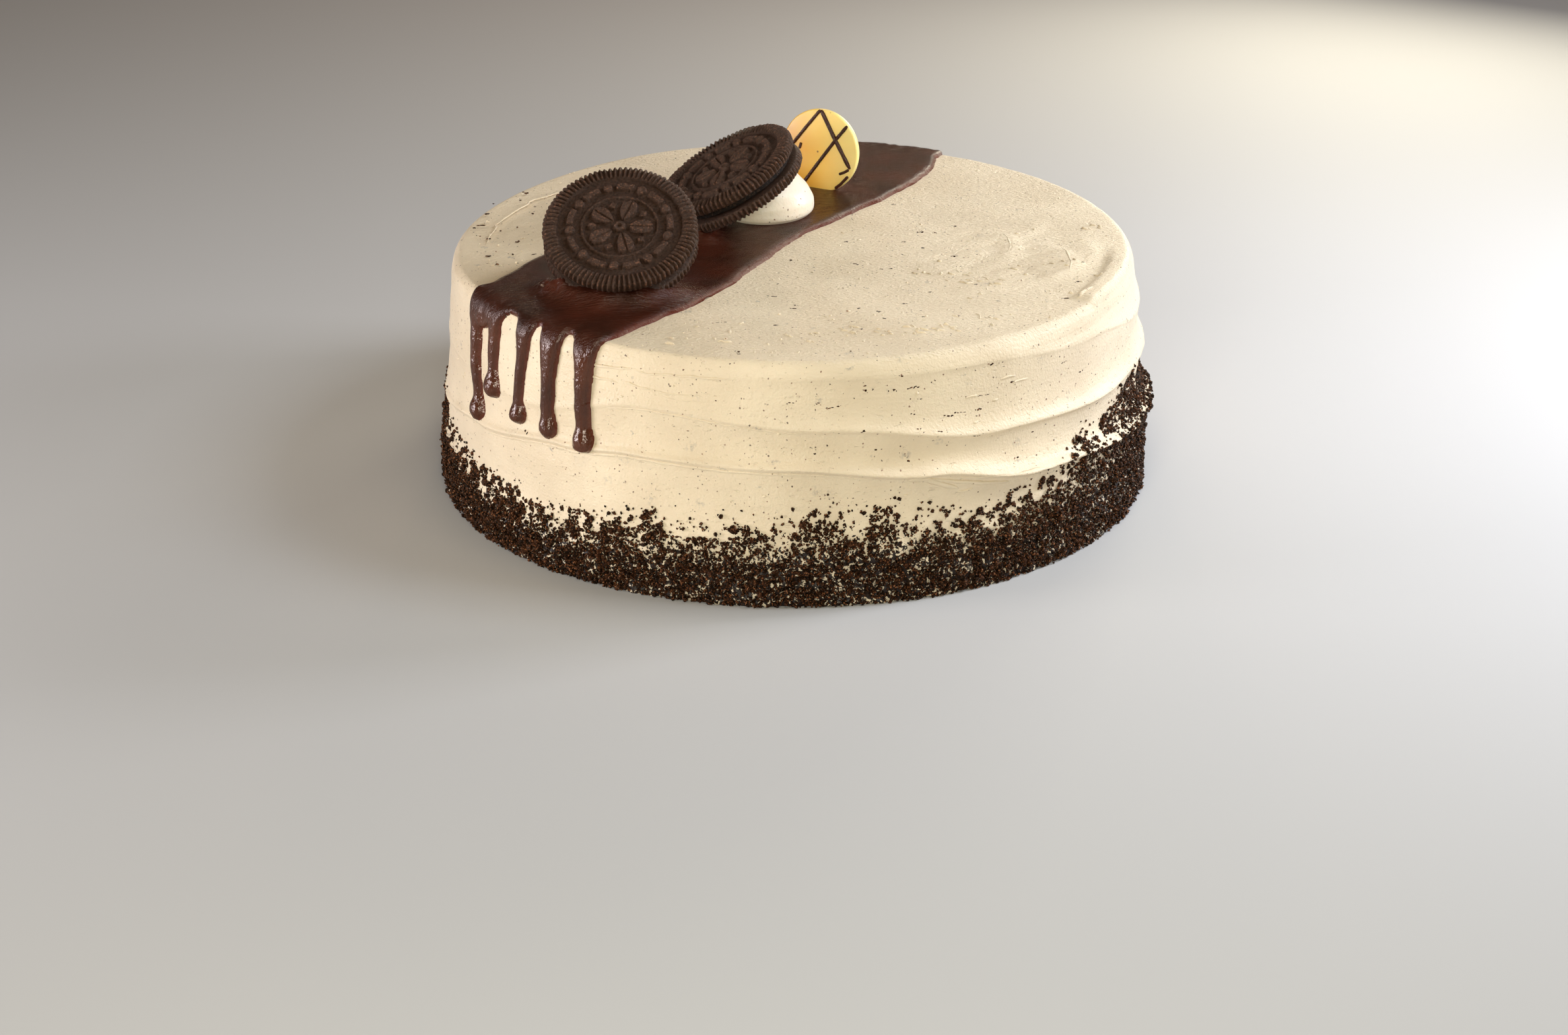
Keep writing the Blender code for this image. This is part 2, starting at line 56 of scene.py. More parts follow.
# Noise is given as layers: size of the lumps, seed and height
SIDE_LUMPS = [((0.04, 0.04, 0.012), 1.3, 0.4 * MM), ((0.018, 0.018, 0.0022), 5.2, 0.09 * MM),
              ((0.03, 0.03, 0.0045), 8.4, 0.13 * MM)]
TOP_LUMPS = [(0.045, 2.2, 0.35 * MM)]
STROKE_LUMPS = [((0.035, 0.005, 1), 6.1, 0.1 * MM), ((0.012, 0.0028, 1), 7.9, 0.05 * MM)]
STROKE_SLANT = 28
# Height under the top over which its relief fades down the side
RIM_BLEND = 6 * MM

# Crests that the spatula left round the side: height in millimetres by azimuth, depth and drop of the lip
LOW_CREST = {-174: 29.5, -150: 34.5, -129: 39.5, -115: 42, -90: 41.5, -69: 37.5, -49: 31.5, -13: 27.5,
             35: 28, 80: 34, 125: 36, 160: 31}
MIDDLE_CREST = {-138: 48, -113: 56.5, -84: 52.5, -57: 46.5, -30: 44.5, 20: 45, 70: 50, 110: 54, 160: 48}
HIGH_CREST = {-120: 67.2, -60: 66.8, -34: 63, -10: 57.5, 40: 59, 90: 64, 140: 65, -170: 65}
CREST_DEPTHS = (0.7 * MM, 0.5 * MM, 0.15 * MM)
CREST_DROPS = (1.2 * MM, 1.3 * MM, 1 * MM)
CREST_LUMPS = [(0.03, 3.7, 0.3), (0.008, 9.1, 0.3)]
LIP_RISE = 0.2 * MM
LIP_WIDTH = 1.1 * MM
# Broad swell of the side at each crest, and how far it reaches up and down
CREST_SWELLS = (1.25 * MM, 0.95 * MM, 0.55 * MM)
SWELL_UP = 3.2 * MM
SWELL_DOWN = 5.5 * MM
# Share of its full depth that each crest has, by azimuth
CREST_SHARES = (
    {-174: 0.4, -150: 0.3, -129: 0.3, -108: 0.5, -90: 1.05, -60: 1.55, -30: 1.6, 35: 1.1, 125: 0.7},
    {-174: 0.2, -138: 0.25, -113: 0.5, -84: 1, -57: 1.35, -30: 1.5, 20: 1.3, 110: 0.9, 160: 0.4},
    {-170: 0.4, -120: 0.45, -90: 0.7, -60: 1.0, -34: 1.25, -10: 1.3, 40: 1, 140: 0.7})
# Rows of faces from the base to the lowest crest, between crests, over a crest's step and up to the top
FOOT_ROWS = 40
BAND_ROWS = 15
STEP_ROWS = 4
EDGE_ROWS = 22
TOP_CELLS = 160
# Step between the rows of a rim as it is drawn down, before each row gets its own place
ROW_STEP = 1 * MM

# Curved strokes of the spatula on the top: middle, radius, first and last angle, width and height
SWIRLS = [((56, -3), 11, -70, 70, 5, 0.45), ((68, -18), 15, -80, 80, 7, 0.6),
          ((66, -8), 24, -60, 40, 5, 0.35), ((30, -34), 16, 0, 75, 6, 0.3),
          ((58, 20), 18, -110, 10, 6, 0.35)]

# Grey smears of cookie under the frosting: on the top by x and y, on the side by azimuth and height
TOP_SMEARS = [(34.3, -43.7), (15.7, -95.0), (29.7, -98.1), (56.4, 4.8), (24.4, 37.3), (-91.5, 2.3),
              (1.0, -60.2), (57, -37.7), (-30, -62), (70, 30), (10, 75), (-60, 70)]
SIDE_SMEARS = [(-119.6, 68.5), (-117.0, 39.6), (-112.3, 28.9), (-120.0, 32.3), (-104.5, 29.6),
               (-105.8, 46.2), (-75.2, 62.8), (-72.5, 43.6), (-61.7, 62.0), (-47.4, 63.2), (-41.0, 49.5),
               (-68.2, 49.1), (-92.8, 43.2), (-105.4, 61.1), (-79.1, 62.2), (-84.6, 33.7), (-67.3, 46.9),
               (-52.9, 41.0), (-86.6, 34.8), (-20, 60), (5, 52), (38, 46), (66, 58), (110, 50), (150, 44),
               (170, 60), (-160, 52)]
SMEAR_SIZE = 1.5 * MM
SMEAR_RADIUS = 104.8 * MM

# Crumbs round the foot: height of their ragged top by azimuth, how fast they thin out, and their layer
CRUMB_TOP = {-174: 28, -157: 21, -130: 20, -104: 25, -77: 29, -58: 23, -35: 35, -22: 40, -8: 36, 6: 31,
             40: 28, 80: 23, 120: 28, 155: 23}
CRUMB_FADE = 1.8
CRUMB_LAYER = 1.6 * MM
CRUMB_SHAPES = 6
# Crumbs gather in clumps, and their top edge is ragged
CLUMP_LUMPS = [(0.0075, 4.07, 0.5), (0.0024, 7.81, 0.8)]
RAGGED_TOP = [(0.009, 2.6, 0.16)]
# Grades of crumbs: name, number, smallest and largest radius, shape, seed and how low they lie
CRUMB_GRADES = [("crumbs_fine", 23500, (0.2 * MM, 0.5 * MM), "octahedron", 11, 0.95),
                ("crumbs_medium", 23500, (0.3 * MM, 0.65 * MM), "octahedron", 53, 1.0),
                ("crumbs_small", 9300, (0.4 * MM, 0.85 * MM), "ico sphere", 23, 1.0),
                ("crumbs_coarse", 1300, (0.8 * MM, 1.3 * MM), "cube", 37, 1.4)]

# Ganache band: thickness, azimuths of its corners, their radius, and how its right edge swings
GANACHE_THICKNESS = 1.6 * MM
LEFT_FRONT = -154.0
RIGHT_FRONT = -121
LEFT_BACK = 94
RIGHT_BACK = 60
BAND_END = 103.5 * MM
EDGE_BULGE = 3 * MM
EDGE_WAVE = 2.4 * MM
EDGE_WAVE_LENGTH = 100 * MM
EDGE_WAVE_CREST = -48 * MM
# Its grid: columns, rows on the top and down each end, margin beyond the edges, and reach of the ends
BAND_COLUMNS = 150
BAND_TOP_ROWS = 190
BAND_WALL_ROWS = 88
BAND_MARGIN = 0.09
WALL_REACH = 42 * MM
# Step at which the way over the cake's edge is measured, and how softly the ganache turns over it
SECTION_STEP = 0.1 * MM
EDGE_SOFTNESS = 2.2 * MM

# Drips: azimuth at the root and at the bulb, height of the tip, width of the stem and of the bulb
DRIPS = [(-152.7, -150.7, 35, 4.6, 6.4), (-146.2, -146.0, 44.5, 4.1, 6.8), (-137.9, -139.0, 40.5, 3.9, 6.0),
         (-131.6, -131.8, 40, 5.0, 6.1), (-124.5, -124.3, 38.8, 5.2, 6.9), (64, 64.4, 44, 5.0, 5.8),
         (70.5, 70.9, 53, 4.2, 5.4), (78, 78.3, 38, 4.0, 5.3), (85, 85.2, 48, 4.6, 5.6),
         (91.5, 91.2, 41, 3.8, 5.2)]
# Height down to which the ganache hangs over the edge between the drips: in front by azimuth, and behind
FRONT_HEM = {-156: 66.5, -150: 63.4, -146: 67.6, -142.5: 71.2, -139: 71.4, -135.5: 71.6, -131: 71.8,
             -127.8: 71.8, -121: 71.9}
BACK_HEM = 71.3
# Strokes of the spatula in the ganache, along a slant
BAND_STROKES = [((0.03, 0.006, 1), 2.0, 0.07 * MM), ((0.011, 0.0022, 1), 4.0, 0.05 * MM)]
BAND_SLANT = 60
# Ganache heaped against each cookie: height, how far it reaches, and the place of its clots
HEAPS = {"front": (4.0 * MM, 3.8 * MM, (-69.5 * MM, -48.5 * MM)),
         "back": (2.2 * MM, 2.4 * MM, (-27 * MM, 1.5 * MM))}

# Ridges of frosting: on the side by azimuth and height, on the top by x and y, with width and height
SIDE_RIDGES = [([(-126, 66.4), (-121.6, 65.5), (-117.5, 66.2), (-115.1, 66.7)], 0.9, 0.4),
               ([(-115.2, 66.2), (-112.8, 65.7), (-110.7, 66.2), (-106, 66.5), (-99, 66.7)], 0.8, 0.35),
               ([(-125, 62.2), (-121.7, 61.8), (-119.4, 62.1), (-118.2, 61.6)], 0.8, 0.35),
               ([(-117.8, 62.1), (-116.3, 62.3), (-114.4, 61.5), (-112.4, 61.4)], 0.7, 0.3),
               ([(-113.5, 61.9), (-110, 60.9), (-104, 61.3)], 0.5, 0.2),
               ([(-111, 60.2), (-107.5, 59.4), (-103, 59.9)], 0.4, 0.15),
               ([(-72.5, 36.6), (-69.4, 35.9), (-66.5, 33.4), (-64.0, 31.6)], 1.8, 0.5),
               ([(-69.5, 36.2), (-64.9, 34.2), (-60.1, 31.9), (-55, 30.2)], 1.4, 0.45),
               ([(-66, 35.6), (-60.5, 33.9), (-54, 32.6), (-46, 31.4)], 1.1, 0.35),
               ([(-56, 60.6), (-54.3, 60.9), (-52.6, 60.4)], 0.8, 0.3),
               ([(-53.5, 58.6), (-51.8, 58.9), (-50.2, 58.7)], 0.7, 0.3),
               ([(-62.5, 57.3), (-61.2, 57.7), (-60, 57.5)], 0.7, 0.3),
               ([(-57.5, 54.9), (-56.2, 55.1)], 0.7, 0.3),
               ([(-64.5, 30.6), (-62.9, 30.2), (-61.4, 30.6)], 0.8, 0.35)]
TOP_RIDGES = [([(-92.5, -0.2), (-92.4, 5.4), (-90.7, 14.8), (-91.2, 16.0), (-88.9, 23.0), (-86.5, 28.8),
                (-82.7, 36.7), (-82.7, 38.6), (-81.2, 41.3), (-76.7, 45.2), (-72.0, 50.6), (-66, 57)],
               0.55, 0.3),
              ([(56.4, 2.9), (53.0, -1.4), (48.1, -12.3), (46.1, -18.3)], 0.35, 0.12),
              ([(63, 8), (65, 2), (65.5, -5), (64, -11)], 0.6, 0.14),
              ([(80, -3), (82, -10), (82.6, -20), (81.5, -28)], 0.7, 0.15),
              ([(74, -3), (78, -7), (82, -6)], 0.6, 0.12),
              ([(82.4, -51), (84.4, -47.6), (87, -44)], 1.8, 0.7)]
# Threads of frosting under two crests: crest, first and last azimuth, height over it, width and height
CREST_THREADS = [(LOW_CREST, -148, -76, -1.5, 0.9, 0.3), (MIDDLE_CREST, -121, -86, -1.2, 0.7, 0.25)]
# Places on the top where the spatula left curls of frosting: x, y, spread and how many
CURL_SPOTS = [(41, -75, 5, 16), (36, -77, 4, 8), (17, -77, 6, 9), (28, -79, 5, 7), (54, -66, 7, 9),
              (2, -82, 9, 6), (-26, -85, 12, 6), (44, -30, 7, 10), (55, -35, 8, 10), (90, 14, 4, 7),
              (72, -20, 12, 8), (20, 82, 12, 6)]
TOP_BITS = 850
SIDE_BITS = 260
RIDGE_SIDES = 8
# Ridges and specks stay within this radius on the top
TUBE_LIMIT = 101.2 * MM

# Specks of cookie in the frosting: on the top by x, y, length and width, on the side by both ends and width
TOP_SPECKS = [(-0.7, -16.8, 1.2, 1.0), (-5.8, -48.8, 1.9, 0.5), (0.5, -56.3, 1.1, 0.7),
              (0.3, -59.1, 1.9, 0.6), (18.3, -20.1, 2.0, 0.8), (23.8, 37.3, 2.9, 0.5),
              (27.5, 36.7, 1.7, 0.4), (31.0, 36.0, 1.6, 0.6), (26.3, -24.8, 1.1, 0.5),
              (29.0, -24.3, 1.2, 0.5), (39.1, 9.1, 2.5, 0.6), (37.9, 8.5, 1.2, 0.4), (43.2, 8.2, 1.2, 0.7),
              (39.0, -5.7, 1.6, 0.7), (32.7, -11.7, 0.8, 0.4), (39.6, -44.8, 1.2, 0.7),
              (31.9, -54.7, 1.5, 0.6), (26.0, -67.3, 1.5, 0.5), (24.7, -61.6, 1.5, 0.6),
              (18.8, -59.1, 1.2, 0.5), (-15.2, -93.9, 1.1, 0.9), (-14.9, -96.0, 1.1, 0.6),
              (-21.4, -71.2, 1.8, 0.4), (-5.1, -73.3, 1.8, 0.4), (15.9, -0.2, 2.0, 0.5),
              (7.7, 2.0, 1.2, 0.4), (53.6, -37.9, 1.5, 0.7), (49.6, 14.2, 1.6, 0.5),
              (47.2, -64.6, 1.1, 0.5), (37.0, -65.7, 1.1, 0.5), (48.0, -13.5, 1.6, 0.6),
              (-4.5, -37.7, 0.7, 0.5), (33.6, -0.2, 1.2, 0.5), (15.9, -93.4, 0.7, 0.6),
              (29.7, -97.6, 0.7, 0.5), (-94.9, 26.9, 1.6, 0.6), (-84.1, 47.9, 1.6, 0.7),
              (-92.2, 3.5, 1.2, 0.7), (-91.3, -12.9, 1.6, 0.6), (-89.3, 11.0, 0.6, 0.6),
              (-84.0, -11.1, 0.6, 0.6), (-84.5, 14.2, 0.6, 0.6), (-83.4, 0.4, 0.8, 0.6),
              (-80.5, 27.5, 0.5, 0.7), (-97.5, 13.5, 0.8, 0.5), (-95.5, 16.0, 1.7, 0.3),
              (-88.0, -20.1, 1.2, 0.5), (-77.8, -11.1, 1.2, 0.4), (-88.2, -34.2, 1.1, 0.6),
              (83.5, -35.5, 1.6, 0.8), (79, -50, 2.6, 0.6), (86, -20, 0.9, 0.6)]
SIDE_SPECKS = [(-84.9, 58.7, -82.3, 59.4, 0.5), (-75.2, 62.9, -73.7, 62.8, 0.7),
               (-72.6, 62.7, -70.3, 62.9, 0.6), (-68.1, 63.7, -67.4, 64.3, 0.9),
               (-66.3, 53.3, -64.7, 53.0, 0.7), (-64.2, 53.7, -62.5, 53.4, 0.5),
               (-60.4, 53.3, -59.2, 53.1, 0.8), (-60.7, 57.5, -58.3, 57.0, 0.4),
               (-58.2, 66.1, -56.9, 65.6, 0.6), (-54.0, 58.9, -52.4, 59.0, 0.6),
               (-79.0, 64.7, -78.6, 64.7, 0.6), (-79.0, 63.4, -78.6, 63.3, 0.6),
               (-71.4, 55.3, -71.0, 55.2, 0.6), (-79.5, 52.4, -78.9, 52.4, 0.7),
               (-61.5, 46.6, -60.6, 46.3, 0.4), (-86.8, 45.6, -86.4, 45.5, 0.6),
               (-77.4, 46.0, -77.1, 45.9, 0.7), (-85.0, 48.0, -84.8, 48.0, 0.5),
               (-72.4, 41.6, -71.9, 41.5, 0.6), (-72.8, 42.9, -72.2, 42.4, 0.4),
               (-53.2, 36.4, -52.6, 36.6, 0.6), (-49.8, 42.6, -49.3, 42.8, 0.7),
               (-42.6, 59.4, -41.6, 59.7, 0.5), (-84.9, 33.3, -84.3, 33.6, 0.8),
               (-106.6, 50.8, -106.4, 50.8, 0.5), (-137.2, 39.5, -136.4, 39.4, 0.9),
               (-67.5, 49.7, -65.9, 49.3, 0.3), (-70.6, 59.4, -69.7, 59.2, 0.3),
               (-86.6, 60.3, -86.2, 60.3, 0.5), (-90.3, 60.6, -90.0, 60.6, 0.5),
               (-60.5, 51.7, -60.3, 51.6, 0.4), (-70.8, 51.2, -70.4, 51.1, 0.4),
               (-73.5, 66.8, -73.1, 66.7, 0.6), (-37.7, 54.0, -36.5, 54.5, 0.5),
               (-34.1, 42.5, -33.2, 42.8, 0.6)]
SCATTERED_SPECKS = 560

# Cookies: radius, half the filling, outer face of a wafer, and radius of the filling
COOKIE_RADIUS = 22.6 * MM
WAFER_INNER = 1.25 * MM
WAFER_FACE = 5.05 * MM
FILLING_RADIUS = 20 * MM
# Centre of each sandwich, tilt and azimuth of the way that its top faces
COOKIES = {"front": ((-50 * MM, -41.8 * MM, 88.3 * MM), 32.2, -92.3),
           "back": ((-19 * MM, 15.2 * MM, 87.2 * MM), 28.2, -165.8)}
# Ridges round a wafer's side and points across each, and radius of its embossed face
RIDGES = 90
RIDGE_STEPS = 8
FACE_RADIUS = 17.9 * MM
# A wafer from its face to its inner side: radius, height and depth of the grooves, in millimetres
WAFER_PROFILE = [(18.05, 4.2, 0), (18.2, 4.6, 0.2), (18.45, 4.9, 0.55), (18.9, 5.05, 0.9), (19.7, 5.1, 1),
                 (20.6, 5.02, 1), (21.4, 4.85, 1), (22.0, 4.5, 1), (22.38, 4.0, 1), (22.58, 3.45, 1),
                 (22.6, 2.9, 0.95), (22.52, 2.4, 0.8), (22.35, 1.9, 0.6), (22.05, 1.5, 0.3), (21.5, 1.27, 0),
                 (19.0, 1.25, 0)]

# Cream dollops under the cookies: centre, base radius and height
DOLLOPS = {"back": ((-8.9 * MM, 25.6 * MM), 15.2 * MM, 16.4 * MM),
           "front": ((-49 * MM, -31 * MM), 11.5 * MM, 19 * MM)}
# Share of a dollop's height and its width there
DOLLOP_RISE = [0, 0.02, 0.1, 0.28, 0.5, 0.72, 0.88, 0.97, 1]
DOLLOP_WIDTH = [0.9, 0.97, 1.0, 0.985, 0.88, 0.66, 0.4, 0.18, 0]

# White chocolate disc
DISC_RADIUS = 13.1 * MM
DISC_THICKNESS = 2.0 * MM
DISC_CENTRE = (8.7 * MM, 49.5 * MM, 85.5 * MM)
DISC_TURN = -27
DISC_LEAN = 6
# Lines on the disc, as shares of its radius: points along each and its width in millimetres
DISC_LINES = [([(-0.03, 0.985), (-0.37, 0.55), (-0.76, 0.03)], 0.9),
              ([(-0.01, 0.985), (0.36, 0.38), (0.83, -0.34)], 1.15),
              ([(0.7, 0.69), (0.4, 0.3), (0.0, -0.27), (-0.42, -0.88)], 0.95),
              ([(0.79, -0.52), (0.6, -0.74), (0.46, -0.86)], 0.8),
              ([(0.8, -0.36), (0.68, -0.44), (0.55, -0.5)], 0.75),
              ([(-0.5, 0.13), (-0.54, -0.02)], 0.8)]
LINE_RISE = 0.42 * MM
LINE_STEPS = 14

# Lamps: name, azimuth, elevation, distance, size, power and colour
LAMPS = [("key", 10, 20, 0.55, 0.14, 2.05, (0.97, 1.0, 1.12)),
         ("right high", -10, 50, 0.6, 0.22, 1.8, (0.9, 1.0, 1.12)),
         ("right back", 60, 15, 0.6, 0.22, 1.1, (1.06, 1.0, 0.8)),
         ("front", -95, 15, 0.8, 0.22, 2.6, (1.0, 1.0, 0.87)),
         ("front high", -90, 60, 0.9, 0.22, 0.9, (1.2, 1.02, 0.68)),
         ("left", -165, 6, 0.7, 0.22, 2.95, (1.0, 0.98, 1.04)),
         ("sheen", 89, 19, 0.9, 0.07, 0.3, (1.0, 0.7, 0.5)),
         ("left sheen", 102, 20, 0.88, 0.07, 0.08, (1.0, 0.78, 0.7))]
LIT_POINT = Vector((0, 0, 0.05))
# Camera: place, angle down, lens and film width in millimetres, and shift of the frame
CAMERA_PLACE = (0, -1.0003, 0.4140)
CAMERA_DOWN = 23.396
CAMERA_LENS = 80
CAMERA_FILM = 36
CAMERA_SHIFT = -0.0058947


def deselect():
    """Leave nothing selected."""
    if bpy.context.object and bpy.context.object.mode != "OBJECT":
        bpy.ops.object.mode_set(mode="OBJECT")
    bpy.ops.object.select_all(action="DESELECT")


def get_points(obj):
    """The object's points as an array."""
    places = np.empty(3 * len(obj.data.vertices))
    obj.data.vertices.foreach_get("co", places)
    return places.reshape(-1, 3)


def set_points(obj, places):
    """Move the object's points."""
    obj.data.vertices.foreach_set("co", np.asarray(places, float).ravel())
    obj.data.update()


def lumps(places, size, seed=0.0):
    """Smooth noise of about -1 to 1 at each place, its lumps of a size, one number or one for each axis."""
    spots = np.asarray(places) / np.asarray(size) + seed
    return np.array([noise.noise(spot) for spot in spots.tolist()])


def rough(places, layers):
    """Layers of noise added up, each given as the size of its lumps, its seed and its height."""
    return sum(height * lumps(places, size, seed) for size, seed, height in layers)


def plan(x, y):
    """Places on a level plane."""
    return np.column_stack([x, y, np.zeros_like(x)])


def slanted(x, y, degrees):
    """Places on a level plane, along axes turned by an angle."""
    turn = math.radians(degrees)
    return plan(x * math.cos(turn) + y * math.sin(turn), y * math.cos(turn) - x * math.sin(turn))


def around_axis(angles, radius=1.0, heights=0.0):
    """Places at angles round the upright axis, each at a radius and a height."""
    return np.column_stack(np.broadcast_arrays(np.cos(angles) * radius, np.sin(angles) * radius, heights))


def moved(places, matrix):
    """Places taken through a matrix."""
    matrix = np.array(matrix)
    return places @ matrix[:3, :3].T + matrix[:3, 3]


def azimuth_of(x, y):
    """Azimuth of places in plan, in degrees."""
    return np.degrees(np.arctan2(y, x))


def turn_from(azimuths, start):
    """Degrees from one azimuth to others, the shorter way round."""
    return (azimuths - start + 180) % 360 - 180


def hump(offset, width):
    """1 where an offset is 0, with a soft fall on both sides over a width."""
    return np.exp(-(offset / width) ** 2)


def smooth_step(low, high, values):
    """0 at low and beyond it, 1 at high and beyond it, and a soft rise between."""
    share = np.clip((values - low) / (high - low), 0, 1)
    return share * share * (3 - 2 * share)


def round_table(table, azimuths):
    """Read a table of values by azimuth, smoothly and all the way round."""
    keys = sorted(table)
    values = [table[key] for key in keys]
    keys = np.array([keys[-1] - 360] + keys + [keys[0] + 360], float)
    values = np.array([values[-1]] + values + [values[0]], float)
    angles = turn_from(np.asarray(azimuths), 0)
    spot = np.clip(np.searchsorted(keys, angles, side="right") - 1, 0, len(keys) - 2)
    return values[spot] + (values[spot + 1] - values[spot]) * smooth_step(keys[spot], keys[spot + 1], angles)


def plain_radius(heights):
    """Radius of the plain side at each height, under the rounded top edge and over it."""
    fine = np.linspace(-10 * MM, CAKE_HEIGHT - EDGE_HEIGHT, 400)
    radii = np.interp(fine, np.array(SIDE_HEIGHTS) * MM, np.array(SIDE_RADII) * MM)
    reach = np.arange(-3, 3.01, 0.25) * SIDE_BLUR
    weights = np.exp(-0.5 * (reach / SIDE_BLUR) ** 2)
    soft = sum(weight * np.interp(fine + shift, fine, radii) for weight, shift in zip(weights, reach))
    side = np.interp(heights, fine, soft / weights.sum())
    rise = np.clip((heights - (CAKE_HEIGHT - EDGE_HEIGHT)) / EDGE_HEIGHT, 0, 1)
    over = FLAT_RADIUS + (side - FLAT_RADIUS) * np.sqrt(1 - rise ** 2)
    return np.where(rise > 0, over, side)


def crests(azimuths):
    """Heights of the three crests at each azimuth, lowest first."""
    return [round_table(table, azimuths) * MM for table in (LOW_CREST, MIDDLE_CREST, HIGH_CREST)]


def crumb_cover(azimuths, heights):
    """How thickly crumbs cover the side: 1 at the base, 0 above their ragged top."""
    top = round_table(CRUMB_TOP, azimuths) * MM
    return np.clip(CRUMB_FADE * (1 - heights / top), 0, 1)


def side_radius(azimuths, heights):
    """Radius of the frosted side with its crests and the fine marks of the spatula."""
    angles = np.radians(azimuths)
    radius = plain_radius(heights)
    levels = crests(azimuths)
    tops = levels[1:] + [np.full_like(heights, CAKE_HEIGHT)]
    for number, (level, top) in enumerate(zip(levels, tops)):
        above = heights - level
        along = around_axis(angles, SIDE_RING, number * 0.05)
        part = round_table(CREST_SHARES[number], azimuths)
        depth = CREST_DEPTHS[number] * part * (1 + rough(along, CREST_LUMPS))
        swell = CREST_SWELLS[number] * part * hump(above, np.where(above > 0, SWELL_UP, SWELL_DOWN))
        rising = smooth_step(level - CREST_DROPS[number], level, heights) * (above < 0)
        share = np.clip(above / (top - level), 0, 1)
        falling = (0.3 * (1 - share) ** 2 + 0.7 * (1 - share) ** 4.5) * (above >= 0)
        lip = hump(above - LIP_RISE, LIP_WIDTH)
        radius = radius + swell + depth * (0.6 * rising + 0.6 * falling + lip)
    # A narrow bead lies on the lowest crest at the left
    bead = smooth_step(-100, -112, azimuths) * smooth_step(-178, -165, azimuths)
    radius = radius + 0.55 * MM * bead * hump(heights - levels[0] - LIP_RISE, 0.9 * MM)
    calm = smooth_step(CAKE_HEIGHT, CAKE_HEIGHT - 2 * MM, heights)
    return radius + rough(around_axis(angles, SIDE_RING, heights), SIDE_LUMPS) * calm


def join_mesh(name, places, faces):
    """An object from an array of points and a list of faces."""
    mesh = bpy.data.meshes.new(name)
    mesh.from_pydata(places.tolist(), [], faces)
    obj = bpy.data.objects.new(name, mesh)
    bpy.context.scene.collection.objects.link(obj)
    return obj


def set_attribute(obj, name, values):
    """Store one number for each point, for the materials to read."""
    attribute = obj.data.attributes.new(name, "FLOAT", "POINT")
    attribute.data.foreach_set("value", np.asarray(values, np.float32))


def shade(obj, smooth=True):
    """Set smooth or flat shading on every face."""
    obj.data.polygons.foreach_set("use_smooth", [smooth] * len(obj.data.polygons))
    obj.data.update()


def finish_piece(obj, name, material, nodes=()):
    """Name a finished piece, dress it and tie it to the part."""
    obj.name = name
    obj.data.name = name
    obj.data.materials.clear()
    obj.data.materials.append(material)
    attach(obj, "root")
    if nodes:
        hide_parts(*nodes)
    return obj


def open_mesh(obj):
    """Select one object and put it in edit mode."""
    deselect()
    bpy.context.view_layer.objects.active = obj
    obj.select_set(True)
    bpy.ops.object.mode_set(mode="EDIT")


def close_mesh():
    """Turn every face outwards and leave edit mode."""
    bpy.ops.mesh.select_all(action="SELECT")
    bpy.ops.mesh.normals_make_consistent(inside=False)
    bpy.ops.object.mode_set(mode="OBJECT")


def round_grid(cells, radius, height):
    """A square grid pressed out to a disc, its edge points spread evenly round the rim."""
    deselect()
    bpy.ops.mesh.primitive_grid_add(x_subdivisions=cells, y_subdivisions=cells, size=2, location=(0, 0, 0))
    obj = bpy.context.object
    x, y, _ = get_points(obj).T
    wide = np.abs(x) > np.abs(y)
    far = np.where(wide, x, y)
    near = np.where(wide, y, x)
    angle = math.pi / 4 * near / np.where(np.abs(far) < 1e-9, 1, far)
    angle = np.where(wide, angle, math.pi / 2 - angle)
    set_points(obj, around_axis(angle, far * radius, height))
    return obj


def extrude_rim(obj, rows):
    """Draw the open rim of a sheet down in rows, each a step lower than the last, and close its end."""
    open_mesh(obj)
    bpy.ops.mesh.select_mode(type="EDGE")
    bpy.ops.mesh.select_all(action="SELECT")
    bpy.ops.mesh.region_to_loop()
    for row in range(rows):
        bpy.ops.mesh.extrude_region_move(TRANSFORM_OT_translate={"value": (0, 0, -ROW_STEP)})
    bpy.ops.mesh.edge_face_add()
    close_mesh()


def frosting_rows(azimuths):
    """Heights of the frosting's rows at each azimuth, from just under the top to the base."""
    low, middle, high = crests(azimuths)
    feet = [level - drop for level, drop in zip((low, middle, high), CREST_DROPS)]
    edge = np.linspace(0, 1, EDGE_ROWS + 1)[1:]
    rows = [CAKE_HEIGHT + (high - CAKE_HEIGHT) * (1 - (1 - share ** 1.5) ** 1.3) for share in edge]
    stretches = [(high, feet[2], STEP_ROWS, 1), (feet[2], middle, BAND_ROWS, 1.5),
                 (middle, feet[1], STEP_ROWS, 1), (feet[1], low, BAND_ROWS, 1.5),
                 (low, feet[0], STEP_ROWS, 1), (feet[0], 0 * low, FOOT_ROWS, 1)]
    for start, end, count, crowding in stretches:
        shares = 1 - (1 - np.linspace(0, 1, count + 1)[1:]) ** crowding
        rows += [start + (end - start) * share for share in shares]
    return rows


